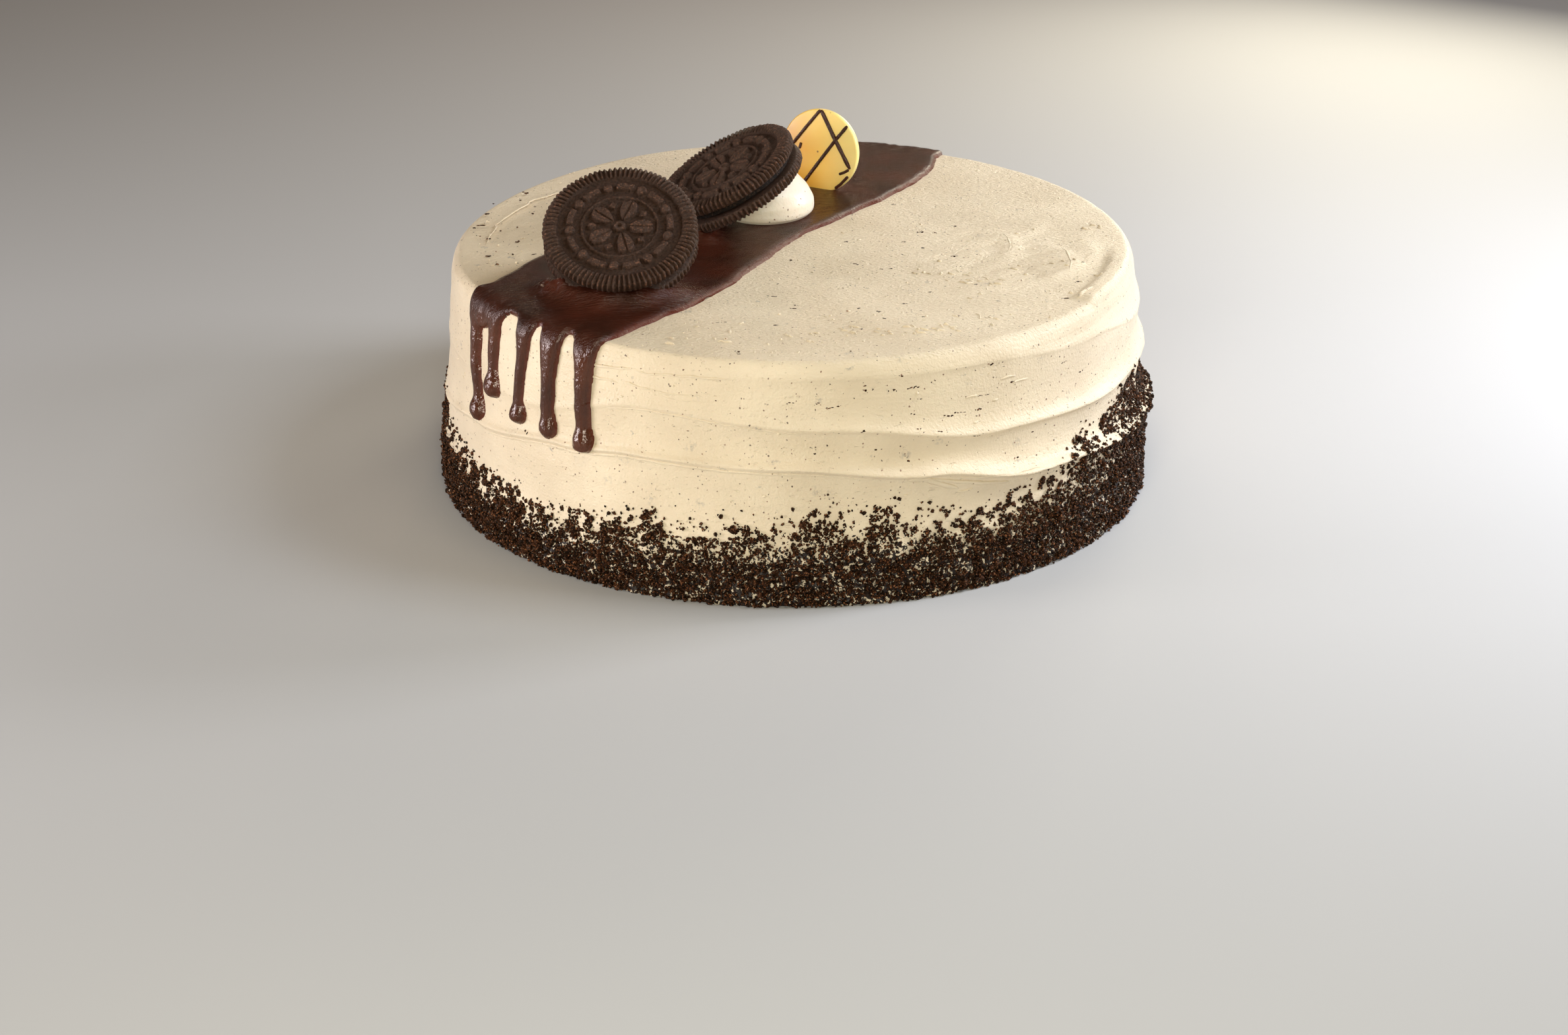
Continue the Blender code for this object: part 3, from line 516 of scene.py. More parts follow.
def frost_top(x, y):
    """Relief of the flat top: dips and lumps, strokes of the spatula and a ledge at the right rim."""
    places = plan(x, y)
    stroke = slanted(x, y, STROKE_SLANT)
    relief = rough(places, TOP_LUMPS) + rough(stroke, STROKE_LUMPS)
    restless = hump(x - 62 * MM, 24 * MM) * hump(y + 15 * MM, 26 * MM)
    relief += restless * np.abs(lumps(stroke, (0.015, 0.007, 1), 3.3)) * 1.1 * MM
    for (across, along), size, start, end, width, height in SWIRLS:
        right, back = x - across * MM, y - along * MM
        away = np.hypot(right, back) / MM - size
        turn = azimuth_of(right, back)
        part = smooth_step(start, start + 25, turn) * smooth_step(end, end - 25, turn)
        relief += part * height * MM * hump(away, np.where(away < 0, width, width * 0.35))
    azimuths = azimuth_of(x, y)
    ledge = smooth_step(-32.5, -30.5, azimuths) * smooth_step(0, -14, azimuths)
    uneven_reach = np.hypot(x, y) + lumps(places, 0.008, 3.9) * 0.7 * MM
    return relief + ledge * smooth_step(94.5 * MM, 96.5 * MM, uneven_reach) * 1.3 * MM


def add_frosting(material):
    """The cake's outside: a round top whose rim is drawn down over the edge and the crests to the base."""
    obj = round_grid(TOP_CELLS, FLAT_RADIUS, CAKE_HEIGHT)
    extrude_rim(obj, len(frosting_rows(np.zeros(1))))
    x, y, level = get_points(obj).T
    row = np.rint((CAKE_HEIGHT - level) / ROW_STEP).astype(int)
    on_top = row == 0
    azimuths = azimuth_of(x, y)
    reach = np.hypot(x, y)
    way = np.column_stack([x, y]) / reach.clip(1e-6)[:, None]
    levels = np.stack([np.full(len(row), CAKE_HEIGHT)] + frosting_rows(azimuths))
    heights = levels[row, np.arange(len(row))]
    cover = crumb_cover(azimuths, heights) * ~on_top
    knobbly = 0.75 + 0.9 * lumps(np.column_stack([way * CRUMB_RING, heights]), 0.0035, 5.5)
    radius = side_radius(azimuths, heights) + CRUMB_LAYER * cover * knobbly
    radius = np.where(on_top, reach, radius)
    rim_share = smooth_step(CAKE_HEIGHT - RIM_BLEND, CAKE_HEIGHT, heights)
    lift = np.where(on_top, frost_top(x, y), frost_top(*(way * FLAT_RADIUS).T) * rim_share)
    # The rim slumps a little behind, at the left
    slump = -1.2 * MM * hump(turn_from(azimuths, 160), 30)
    lift = lift + slump * smooth_step(70 * MM, 100 * MM, reach) * rim_share
    places = np.column_stack([way * radius[:, None], heights + lift])
    set_points(obj, places)
    shade(obj)
    set_attribute(obj, "crumb_cover", cover)
    spots = [(across * MM, along * MM, CAKE_HEIGHT) for across, along in TOP_SMEARS]
    spots += [around_axis(math.radians(azimuth), SMEAR_RADIUS, height * MM)[0]
              for azimuth, height in SIDE_SMEARS]
    smear = sum(hump(np.linalg.norm(places - np.array(spot), axis=1), SMEAR_SIZE) for spot in spots)
    set_attribute(obj, "smear", smear)
    return finish_piece(obj, "frosting", material, ["frosted_cake"])


def crumb_shape(kind, seed):
    """Points and faces of one rough crumb of radius about 1: an octahedron, ico sphere or cube, shaken."""
    draw = random.Random(seed)
    if kind == "octahedron":
        places = np.array([(1, 0, 0), (-1, 0, 0), (0, 1, 0), (0, -1, 0), (0, 0, 1), (0, 0, -1)], float)
        faces = np.array([(0, 2, 4), (2, 1, 4), (1, 3, 4), (3, 0, 4), (2, 0, 5), (1, 2, 5), (3, 1, 5),
                          (0, 3, 5)])
        places += np.array([[draw.uniform(-0.3, 0.3) for axis in range(3)] for point in places])
        return places * 1.15, faces
    deselect()
    if kind == "ico sphere":
        bpy.ops.mesh.primitive_ico_sphere_add(subdivisions=1, radius=1, location=(0, 0, 0))
    else:
        bpy.ops.mesh.primitive_cube_add(size=2, location=(0, 0, 0))
        bpy.ops.object.mode_set(mode="EDIT")
        bpy.ops.mesh.subdivide(number_cuts=1)
        bpy.ops.object.mode_set(mode="OBJECT")
    obj = bpy.context.object
    places = get_points(obj)
    places /= np.linalg.norm(places, axis=1, keepdims=True)
    places *= np.array([[draw.uniform(0.7, 1.2)] for place in places])
    places *= np.array([draw.uniform(0.75, 1.1), draw.uniform(0.75, 1.1), draw.uniform(0.6, 1)])
    faces = np.array([face.vertices[:] for face in obj.data.polygons])
    bpy.data.meshes.remove(obj.data)
    return places, faces


def turned(shape, turn):
    """A shape turned by a quaternion."""
    w, x, y, z = turn
    matrix = np.array([[1 - 2 * (y * y + z * z), 2 * (x * y - z * w), 2 * (x * z + y * w)],
                       [2 * (x * y + z * w), 1 - 2 * (x * x + z * z), 2 * (y * z - x * w)],
                       [2 * (x * z - y * w), 2 * (y * z + x * w), 1 - 2 * (x * x + y * y)]])
    return shape @ matrix.T


def crumb_bar(azimuths, heights, share):
    """How hard it is for a crumb to stick, by its share of the way up to the crumbs' ragged top."""
    bar = -0.8 + 0.95 * smooth_step(0.3, 1.0, share) + 2.2 * smooth_step(0.96, 1.18, share)
    # At the right they lie thicker above and thinner in a patch near the base
    fuller = hump(azimuths + 13, 11) * smooth_step(0.4, 0.7, share)
    barer = hump(azimuths + 6, 8) * hump(heights - 17 * MM, 8 * MM)
    return bar - 0.75 * fuller + 0.55 * barer


def scatter_crumbs(name, count, sizes, kind, seed, spread, material):
    """Crumbs on the side, thick at the foot and ragged above, as one mesh from a few rough shapes."""
    shapes = [crumb_shape(kind, seed + number) for number in range(CRUMB_SHAPES)]
    draw = np.random.default_rng(seed)
    azimuths = draw.uniform(-180, 180, 6 * count)
    top = round_table(CRUMB_TOP, azimuths) * MM
    heights = draw.random(len(azimuths)) ** spread * top * 1.15
    ring = around_axis(np.radians(azimuths), CRUMB_RING, heights)
    share = heights / top + rough(ring * (1, 1, 0), RAGGED_TOP)
    ease = rough(ring, CLUMP_LUMPS) - crumb_bar(azimuths, heights, share)
    wanted = smooth_step(-0.12, 0.12, ease) + 0.05 * smooth_step(1.25, 0.9, share)
    kept = np.flatnonzero(draw.random(len(azimuths)) < wanted)[:count]
    azimuths, heights = azimuths[kept], heights[kept]
    size = sizes[0] + (sizes[1] - sizes[0]) * draw.random(len(kept)) ** 1.8
    heights = np.maximum(heights, size * 0.75)
    pile = CRUMB_LAYER * crumb_cover(azimuths, heights) * draw.uniform(0.0, 1.5, len(kept))
    radius = side_radius(azimuths, heights) + pile + size * 0.2
    centres = around_axis(np.radians(azimuths), radius, heights)
    turns = draw.normal(size=(len(kept), 4))
    turns /= np.linalg.norm(turns, axis=1, keepdims=True)
    tints = draw.random(len(kept))
    points, faces, tint_of, start = [], [], [], 0
    for number, (centre, turn, scale, tint) in enumerate(zip(centres, turns, size, tints)):
        shape, sides = shapes[number % CRUMB_SHAPES]
        points.append(turned(shape, turn) * scale + centre)
        faces.append(sides + start)
        tint_of.append(np.full(len(shape), tint))
        start += len(shape)
    places = np.concatenate(points)
    places[:, 2] = np.maximum(places[:, 2], 0.02 * MM)
    obj = join_mesh(name, places, np.concatenate(faces).tolist())
    set_attribute(obj, "tint", np.concatenate(tint_of))
    shade(obj, False)
    return finish_piece(obj, name, material)


def cake_section():
    """The cake's section from the middle of the top over the edge and down: reach, radius and height."""
    side = np.linspace(CAKE_HEIGHT, CAKE_HEIGHT - EDGE_HEIGHT, 200)
    side = np.concatenate([side, np.linspace(CAKE_HEIGHT - EDGE_HEIGHT, -8 * MM, 300)[1:]])
    radius = plain_radius(side)
    reach = FLAT_RADIUS + np.concatenate([[0], np.cumsum(np.hypot(np.diff(side), np.diff(radius)))])
    even = np.arange(0, reach[-1], SECTION_STEP)
    radii = np.where(even < FLAT_RADIUS, even, np.interp(even, reach, radius))
    return even, radii, np.interp(even, reach, side)


def soften(values, sigma):
    """Values along the section, smoothed over a length."""
    half = int(3 * sigma / SECTION_STEP)
    weights = np.exp(-0.5 * (np.arange(-half, half + 1) * SECTION_STEP / sigma) ** 2)
    padded = np.pad(values, half, mode="reflect", reflect_type="odd")
    return np.convolve(padded, weights / weights.sum(), "valid")


def side_relief(azimuths, heights):
    """How far the frosted side stands out from the plain one."""
    return side_radius(azimuths, heights) - plain_radius(heights)


def surface_point(azimuths, reach):
    """Points of the frosting, its outward normals, and the way to a surface with a rounder edge."""
    outward = around_axis(np.radians(azimuths))
    up = np.array([0, 0, 1.0])
    along, radii, levels = cake_section()
    soft_radii, soft_levels = soften(radii, EDGE_SOFTNESS), soften(levels, EDGE_SOFTNESS)
    radius, height, soft_radius, soft_height, slope_r, slope_h = [
        np.interp(reach, along, values)[:, None] for values in
        (radii, levels, soft_radii, soft_levels, np.gradient(soft_radii), np.gradient(soft_levels))]
    roll = outward * (soft_radius - radius) + up * (soft_height - height)
    normals = (up * slope_r - outward * slope_h) / np.hypot(slope_h, slope_r)
    relief = np.where(reach > FLAT_RADIUS, side_relief(azimuths, height[:, 0]), 0)
    places = outward * (radius + relief[:, None]) + up * height
    top_relief = frost_top(places[:, 0], places[:, 1])
    places[:, 2] += top_relief * smooth_step(CAKE_HEIGHT - RIM_BLEND, CAKE_HEIGHT, height[:, 0])
    return places, normals, roll


def reach_at(heights):
    """How far out and down the side each height lies."""
    along, _, levels = cake_section()
    down = along >= FLAT_RADIUS
    return np.interp(-np.asarray(heights), -levels[down], along[down])


def soft_union(first, second, blend):
    """The larger of two distances, with a fillet where they are near each other."""
    mix = np.clip(0.5 + 0.5 * (first - second) / blend, 0, 1)
    return second + (first - second) * mix + blend * mix * (1 - mix)


def soft_overlap(first, second, blend):
    """The smaller of two distances, with a fillet where they are near each other."""
    return -soft_union(-first, -second, blend)


def across_of(start, end):
    """Plan direction to the right of the way from start to end."""
    run = (end - start) / np.linalg.norm(end - start)
    return np.array([run[1], -run[0]])


def band_corners():
    """Plan places of the band's corners: left and right in front, left and right behind."""
    return around_axis(np.radians([LEFT_FRONT, RIGHT_FRONT, LEFT_BACK, RIGHT_BACK]), BAND_END)[:, :2]


def inside_edges(spots):
    """How far plan places lie inside the straight left and right edges of the band."""
    left_front, right_front, left_back, right_back = band_corners()
    from_left = (spots - left_front) @ across_of(left_front, left_back)
    return from_left, (right_front - spots) @ across_of(right_front, right_back)


def off_the_band(spots):
    """Which plan places lie clear of the ganache band."""
    from_left, from_right = inside_edges(spots)
    return (from_left < -3 * MM) | (from_right < -8 * MM)


def smooth_side(azimuths, reach):
    """How far the side, smoothed over its crests, lies outside the real one."""
    along, _, levels = cake_section()
    heights = np.interp(reach, along, levels)
    around = sum(side_relief(azimuths, np.minimum(heights + shift * MM, CAKE_HEIGHT))
                 for shift in (-5, -3, -1, 1, 3, 5)) / 6
    return np.where(reach > FLAT_RADIUS, around - side_relief(azimuths, heights), 0)


def wafer_distance(which, places):
    """Distance of each place from the lower wafer of a cookie."""
    local = moved(places, cookie_frame(which).inverted())
    beyond = np.hypot(local[:, 0], local[:, 1]) - COOKIE_RADIUS
    past = np.maximum(local[:, 2] + WAFER_INNER, -WAFER_FACE - local[:, 2])
    return np.hypot(np.clip(beyond, 0, 1), np.clip(past, 0, 1))


def from_clots(which, spots):
    """Distance of plan places from the clots of ganache beside a cookie."""
    return np.linalg.norm(spots - np.array(HEAPS[which][2]), axis=1)


def band_plan(obj):
    """Plan places of the band's grid, with what hangs down at its ends laid out flat beyond the edge."""
    flat = get_points(obj) + 0.5
    across = flat[:, 0] * (1 + 2 * BAND_MARGIN) - BAND_MARGIN
    row = flat[:, 1] * (BAND_TOP_ROWS + 2 * BAND_WALL_ROWS)
    front = around_axis(np.radians(LEFT_FRONT + (RIGHT_FRONT - LEFT_FRONT) * across), BAND_END)[:, :2]
    back = around_axis(np.radians(LEFT_BACK + (RIGHT_BACK - LEFT_BACK) * across), BAND_END)[:, :2]
    spots = front + (back - front) * np.clip((row - BAND_WALL_ROWS) / BAND_TOP_ROWS, 0, 1)[:, None]
    hanging = np.clip((BAND_WALL_ROWS - row) / BAND_WALL_ROWS, 0, 1)
    hanging = hanging + np.clip((row - BAND_WALL_ROWS - BAND_TOP_ROWS) / BAND_WALL_ROWS, 0, 1)
    length = np.hypot(spots[:, 0], spots[:, 1])
    return spots * ((length + hanging * WALL_REACH) / length)[:, None]


def band_depth(spots, azimuths, reach):
    """How deep inside the band's outline, without its drips, each place lies."""
    held = spots * np.minimum(1, BAND_END / reach)[:, None]
    flat = plan(*held.T)
    from_left, from_right = inside_edges(held)
    _, right_front, _, right_back = band_corners()
    run = right_back - right_front
    share = (held - right_front) @ run / (run @ run)
    wave = EDGE_WAVE * np.cos(math.tau * (held[:, 1] - EDGE_WAVE_CREST) / EDGE_WAVE_LENGTH)
    wave = (EDGE_BULGE + wave) * (1 - np.abs(2 * np.clip(share, 0, 1) - 1) ** 6)
    ragged = rough(flat, [(0.011, 1.7, 0.9 * MM), (0.0045, 6.6, 0.4 * MM)])
    from_right = from_right + wave + ragged - 4 * MM * smooth_step(0.9, 1.0, share)
    from_left = from_left + 0.5 * MM * lumps(flat, 0.012, 2.9) - 2.2 * MM * smooth_step(0.25, 0, share)
    hem = np.where(spots[:, 1] < 0, round_table(FRONT_HEM, azimuths), BACK_HEM)
    hem = hem + 0.4 * lumps(plan(azimuths, 0 * azimuths), 4, 3.1)
    from_hem = reach_at(np.minimum(hem * MM, CAKE_HEIGHT - 0.02 * MM)) - reach
    return soft_overlap(soft_overlap(from_left, from_right, 2 * MM), from_hem, 4 * MM)


def drip_depth(drip, azimuths, reach):
    """How deep inside one drip each place lies, and how thick the drip is along its middle."""
    root, bulb_azimuth, tip, stem, bulb = drip
    tip_reach = reach_at(np.array([tip * MM]))[0]
    bulb_radius = bulb / 2 * MM
    bulb_reach = tip_reach - bulb_radius
    way = np.clip((reach - BAND_END) / (tip_reach - BAND_END), 0, 1)
    centre = root + (bulb_azimuth - root) * way
    zero = 0 * reach
    waver = lumps(np.column_stack([reach, zero + root, zero]), 0.008, 1.0)
    beside = np.radians(turn_from(azimuths, centre)) * MEAN_RADIUS * MM
    beside = beside + 0.3 * MM * waver * smooth_step(0, 0.3, way)
    taper = 1.14 - 0.3 * way + 0.1 * lumps(np.column_stack([reach, zero, zero + root]), 0.006, 3.0)
    flare = 2.3 * MM * np.exp(-np.clip(reach - 101 * MM, 0, 1) / (4.6 * MM))
    half = stem / 2 * MM * taper + flare
    stem_depth = np.minimum(half - np.abs(beside), (bulb_reach - reach) * 0.7 + half * 0.3)
    oval = np.where(reach > bulb_reach, 1, 0.62)
    drop = bulb_radius - np.hypot(beside, (reach - bulb_reach) * oval)
    depth = np.where(reach < 96 * MM, -10 * MM, soft_union(stem_depth, drop, 0.9 * MM))
    swell = hump(np.clip(reach - bulb_reach, -1, 0), 0.9 * bulb_radius)
    crown = (stem / 2 * MM * taper + (bulb_radius - half) * swell) * 0.95
    return depth, np.maximum(crown, 1 * MM)


def band_thickness(spots, azimuths, reach, depth, edge, on_top):
    """Thickness of the ganache: a round edge, spatula marks, wobbly drips and heaps against the cookies."""
    inside = np.clip(depth / (edge + 0.9 * MM * on_top), 0, 1)
    film = smooth_step(0.4 * MM, 3 * MM, depth)
    flat = plan(*spots.T)
    relief = rough(slanted(*spots.T, BAND_SLANT), BAND_STROKES) + 0.09 * MM * lumps(flat, 0.025, 8.0)
    unrolled = plan(np.radians(azimuths) * MEAN_RADIUS * MM, reach)
    wobble = rough(unrolled, [((0.0022, 0.0045, 1), 4.4, 0.22 * MM), (0.0016, 7.7, 0.132 * MM)])
    thick = edge * np.sqrt(1 - (1 - inside) ** 2)
    roll = 0.5 * MM * hump(reach - 102.5 * MM, 3 * MM)
    thick = thick + film * (relief * on_top + wobble * (1 - on_top) + roll)
    for which, (rise, spread, _) in HEAPS.items():
        away = wafer_distance(which, flat + (0, 0, CAKE_HEIGHT + GANACHE_THICKNESS))
        clots = hump(from_clots(which, spots), 8 * MM)
        lumpy = 1 + 0.15 * lumps(flat, 0.004, 5.5) + clots * (0.8 * lumps(flat, 0.0022, 2.5) + 0.25)
        fall = np.exp(-(away / (spread * (1 + 0.6 * clots))) ** 1.7)
        thick = thick + rise * (1 + 0.3 * clots) * fall * lumpy * film * on_top
    return np.where(depth > 0, thick, -0.7 * np.clip(-depth, 0, 0.8 * MM))


def add_ganache(material):
    """The band of ganache: a grid laid over the cake and raised by the depth inside its outline."""
    rows = BAND_TOP_ROWS + 2 * BAND_WALL_ROWS
    deselect()
    bpy.ops.mesh.primitive_grid_add(x_subdivisions=BAND_COLUMNS, y_subdivisions=rows, size=1,
                                    location=(0, 0, 0))
    obj = bpy.context.object
    spots = band_plan(obj)
    azimuths = azimuth_of(*spots.T)
    reach = np.hypot(spots[:, 0], spots[:, 1])
    depth = band_depth(spots, azimuths, reach)
    edge = np.full(len(spots), GANACHE_THICKNESS)
    for drip in DRIPS:
        inside, crown = drip_depth(drip, azimuths, reach)
        local = smooth_step(101 * MM, 109 * MM, reach) * smooth_step(-2 * MM, 0, inside)
        edge = edge + (crown - edge) * local
        depth = soft_union(depth, inside, 1.9 * MM)
    on_top = smooth_step(101 * MM, 96 * MM, reach)
    thick = band_thickness(spots, azimuths, reach, depth, edge, on_top)
    places, normals, roll = surface_point(azimuths, reach)
    places = places + roll * smooth_step(0.2 * MM, 3 * MM, depth)[:, None] + normals * thick[:, None]
    bridged = smooth_side(azimuths, reach) * smooth_step(0, 1.6 * MM, depth)
    set_points(obj, places + around_axis(np.radians(azimuths), bridged))
    thin_and_clot_light = np.exp(-np.clip(depth, 0, 1) / (0.2 * MM + 0.6 * MM * on_top))
    set_attribute(obj, "rim", thin_and_clot_light * on_top)
    # The clots beside the cookies get the lighter red of the band's thinnest edge: painted light on the
    # lumps
    for which in HEAPS:
        away = wafer_distance(which, plan(*spots.T) + (0, 0, CAKE_HEIGHT + GANACHE_THICKNESS))
        clot_painted_light = hump(from_clots(which, spots), 6.5 * MM) * smooth_step(7 * MM, 3.5 * MM, away)
        thin_and_clot_light = np.maximum(thin_and_clot_light, 0.95 * clot_painted_light)
    set_attribute(obj, "thin_and_clot_light", thin_and_clot_light)
    # What lies well outside the outline goes, and the rest becomes a closed body
    obj.data.vertices.foreach_set("select", depth < -0.9 * MM)
    for parts in (obj.data.edges, obj.data.polygons):
        parts.foreach_set("select", np.zeros(len(parts), bool))
    open_mesh(obj)
    bpy.ops.mesh.select_mode(type="VERT")
    bpy.ops.mesh.delete(type="VERT")
    close_mesh()
    body = obj.modifiers.new("body", "SOLIDIFY")
    body.thickness = 0.4 * MM
    body.offset = -1
    bpy.ops.object.modifier_apply(modifier="body")
    shade(obj)
    return finish_piece(obj, "ganache", material, ["ganache_band"])


def ridge_tube(path, width, height, seed):
    """Rings of one ridge along a path, in millimetres: places on the surface and the lift over it."""
    path = np.array(path, float)
    lengths = np.concatenate([[0], np.cumsum(np.hypot(*np.diff(path, axis=0).T))])
    way = np.linspace(0, 1, max(4, int(lengths[-1] / 0.6) + 1) + 1)
    middle = np.column_stack([np.interp(way * lengths[-1], lengths, column) for column in path.T])
    swing = lumps(np.column_stack([middle, np.full(len(way), seed * 1.7)]), 1.9 + 2 * width)
    sway = swing * 0.25 * min(width, 1)
    along = np.gradient(middle, axis=0)
    along /= np.hypot(along[:, 0], along[:, 1])[:, None]
    side = np.column_stack([-along[:, 1], along[:, 0]])
    middle = middle + side * sway[:, None]
    taper = 0.12 + 0.88 * np.sqrt(np.clip(1 - np.abs(2 * way - 1) ** 2.5, 0, 1))
    uneven = 1 + 0.5 * lumps(np.column_stack([middle, np.full(len(way), seed * 2.3)]), 1.3 + 2 * width)
    turn = np.arange(RIDGE_SIDES) * math.tau / RIDGE_SIDES
    wide = np.cos(turn)[None, :] * (width / 2 * taper * uneven)[:, None]
    rise = np.sin(turn).clip(0, 1)[None, :] * (height * taper * uneven)[:, None]
    sunk = np.sin(turn).clip(-1, 0)[None, :] * 0.2 - 0.06
    return middle[:, None, :] + side[:, None, :] * wide[:, :, None], rise + sunk


def lay_tubes(name, top, side):
    """One mesh of low tubes half sunk in the frosting: some on the top, some on the side."""
    places, faces, start = [], [], 0
    for on_top, group in ((True, top), (False, side)):
        spots, lifts = [], []
        for number, (path, width, height) in enumerate(group):
            rings, lift = ridge_tube(path, width, height, number)
            flat = rings.reshape(-1, 2) * MM
            if on_top and (np.hypot(*flat.T).max() > TUBE_LIMIT or not off_the_band(flat).all()):
                continue
            spots.append(flat)
            lifts.append(lift.ravel() * MM)
            corner = start + np.arange(lift.size).reshape(lift.shape)
            beside = np.roll(corner, -1, axis=1)
            quads = np.stack([corner[:-1], beside[:-1], beside[1:], corner[1:]], -1).reshape(-1, 4)
            faces += quads.tolist() + [corner[0][::-1].tolist(), corner[-1].tolist()]
            start += lift.size
        across, along = np.concatenate(spots).T
        lift = np.concatenate(lifts)
        if on_top:
            places.append(np.column_stack([across, along, CAKE_HEIGHT + frost_top(across, along) + lift]))
        else:
            azimuths = across / MM / ARC
            places.append(around_axis(np.radians(azimuths), side_radius(azimuths, along) + lift, along))
    obj = join_mesh(name, np.concatenate(places), faces)
    open_mesh(obj)
    close_mesh()
    return obj


def scattered_ridges():
    """Short curls and bits of frosting, at random but thicker towards the front edge."""
    draw = np.random.default_rng(5)
    top, side = [], []
    for x, y, spread, count in CURL_SPOTS:
        for curl in range(count):
            spot = np.array([x, y]) + draw.normal(size=2) * spread * (0.6, 0.35)
            angle = math.radians(draw.normal(-35, 22))
            half = draw.uniform(0.5, 1.7) * np.array([math.cos(angle), math.sin(angle)])
            bend = draw.normal(size=2) * 0.25
            wide = draw.uniform(0.35, 0.95)
            top.append(([spot - half, spot + bend, spot + half], wide, wide * draw.uniform(0.5, 0.85)))
    while len(top) < TOP_BITS:
        spot = draw.uniform(-97, 97, 2)
        if draw.random() > smooth_step(45, -85, spot[1]) * 0.9 + 0.1:
            continue
        size = 0.3 + 0.65 * draw.random() ** 3
        half = draw.normal(size=2) * size * 0.6
        top.append(([spot - half, spot + half + 0.05], size * 1.1, size * draw.uniform(0.3, 0.7)))
    while len(side) < SIDE_BITS:
        spot = np.array([draw.uniform(-180, 180) * ARC, draw.uniform(30, 66)])
        size = 0.25 + 0.5 * draw.random() ** 3
        half = np.array([draw.uniform(0.3, 1.6), draw.normal() * 0.2]) * size
        side.append(([spot - half, spot + half], size * 1.2, size * draw.uniform(0.3, 0.6)))
    return top, side


def add_frosting_ridges(material):
    """Ridges, curls and bits of frosting that stand on it."""
    top, bits = scattered_ridges()
    side = [([(azimuth * ARC, height) for azimuth, height in path], width, rise)
            for path, width, rise in SIDE_RIDGES] + bits
    for table, first, last, offset, width, rise in CREST_THREADS:
        turns = np.arange(first, last, 1.0)
        side.append((list(zip(turns * ARC, round_table(table, turns) + offset)), width, rise))
    obj = lay_tubes("frosting_ridges", TOP_RIDGES + top, side)
    shade(obj)
    return finish_piece(obj, "frosting_ridges", material)


def add_specks(material):
    """Dark specks of cookie half sunk in the frosting, the larger ones drawn out by the spatula."""
    draw = np.random.default_rng(17)
    top, side = [], []
    for x, y, length, width in TOP_SPECKS:
        middle, run = np.array([x, y]), np.array([length * 0.42, draw.normal() * 0.1])
        top.append(([middle - run, middle + run], width * 1.15, 0.14))
        for part in range(3):
            spot = middle + draw.normal(size=2) * (length * 0.35, width * 0.6)
            run = np.array([length * draw.uniform(0.08, 0.3), draw.normal() * 0.15 * width])
            top.append(([spot - run, spot + run], width * draw.uniform(0.5, 1.0), 0.12))
    for first, low, last, high, width in SIDE_SPECKS:
        length = (last - first) * ARC
        for part in range(max(2, int(length / 0.45))):
            share = draw.random()
            spot = np.array([first * ARC + length * share, low + (high - low) * share])
            spot = spot + draw.normal(size=2) * (0.2, width * 0.2)
            run = np.array([draw.uniform(0.2, 0.6), (high - low) * 0.1 + draw.normal() * 0.05])
            side.append(([spot - run, spot + run], width * draw.uniform(0.45, 0.95), 0.12))
    for number in range(SCATTERED_SPECKS):
        width = 0.25 + 0.5 * draw.random() ** 3
        run = draw.normal(size=2) * width * (0.8, 0.4)
        if number % 2:
            spot = draw.uniform(-97, 97, 2)
            top.append(([spot, spot + run + 0.05], width, 0.06))
        else:
            spot = np.array([draw.uniform(-180, 180) * ARC, draw.uniform(24, 66)])
            side.append(([spot, spot + run + 0.05], width, 0.06))
    obj = lay_tubes("cookie_specks", top, side)
    tint = draw.random(len(obj.data.vertices) // RIDGE_SIDES).repeat(RIDGE_SIDES)
    set_attribute(obj, "tint", 0.3 + 0.7 * tint)
    shade(obj, False)
    return finish_piece(obj, "cookie_specks", material)


def cookie_frame(which):
    """Frame of a cookie: origin in the middle of its filling, +Z out of its top."""
    place, tilt, azimuth = COOKIES[which]
    turn = Matrix.Rotation(math.radians(azimuth), 4, "Z") @ Matrix.Rotation(math.radians(tilt), 4, "Y")
    return Matrix.Translation(Vector(place)) @ turn


def bump_of(distance, width, height):
    """Height of a raised shape with sloping sides, by the distance inside its outline."""
    return height * smooth_step(-0.5 * width, 0.5 * width, distance)


def sector(angle, count, shift=0.0):
    """Angle from the middle of the nearest of so many equal sectors."""
    return ((angle * count / math.tau + shift) % 1 - 0.5) * math.tau / count


def emboss(x, y):
    """A plain rosette with a ring, short bars and round knobs, raised on a wafer's face and chipped."""
    reach = np.hypot(x, y) / MM
    angle = np.arctan2(y, x)
    slope = 0.3
    chip = rough(plan(x, y), [(0.0013, 2.2, 0.16), (0.0006, 6.1, 0.1)])
    ring = bump_of(0.4 - np.abs(reach - 11.0) + chip, slope, 0.65)
    arc = np.abs(sector(angle, 9, 0.5)) * 14.7
    bars = bump_of(np.minimum(2.7 - arc, 0.95 - np.abs(reach - 14.7)) + chip, slope, 1.05)
    knobs = bump_of(1.45 - np.hypot(sector(angle, 9) * 14.5, reach - 14.5) + chip, 0.6, 1.2)
    turn = sector(angle, 5, 0.5)
    out, beside = reach * np.cos(turn) - 6.2, reach * np.sin(turn)
    petal = (1 - np.hypot(out / 3.6, beside / (2.3 + 0.22 * out))) * 2.3 + chip
    vein = bump_of(0.3 - np.abs(beside) - 0.04 * np.abs(out), 0.3, 0.6)
    petals = bump_of(petal, slope, 1.15) - vein
    middle = bump_of(1.75 - reach + chip, slope, 1.2) - bump_of(0.6 - reach, 0.4, 1.0)
    turn = sector(angle, 5)
    out, beside = np.abs(reach * np.cos(turn) - 8.0), np.abs(reach * np.sin(turn))
    leaves = bump_of(1.35 - out - beside + chip, slope, 0.95)
    return np.maximum.reduce([ring, bars, knobs, petals, middle, leaves]) * MM


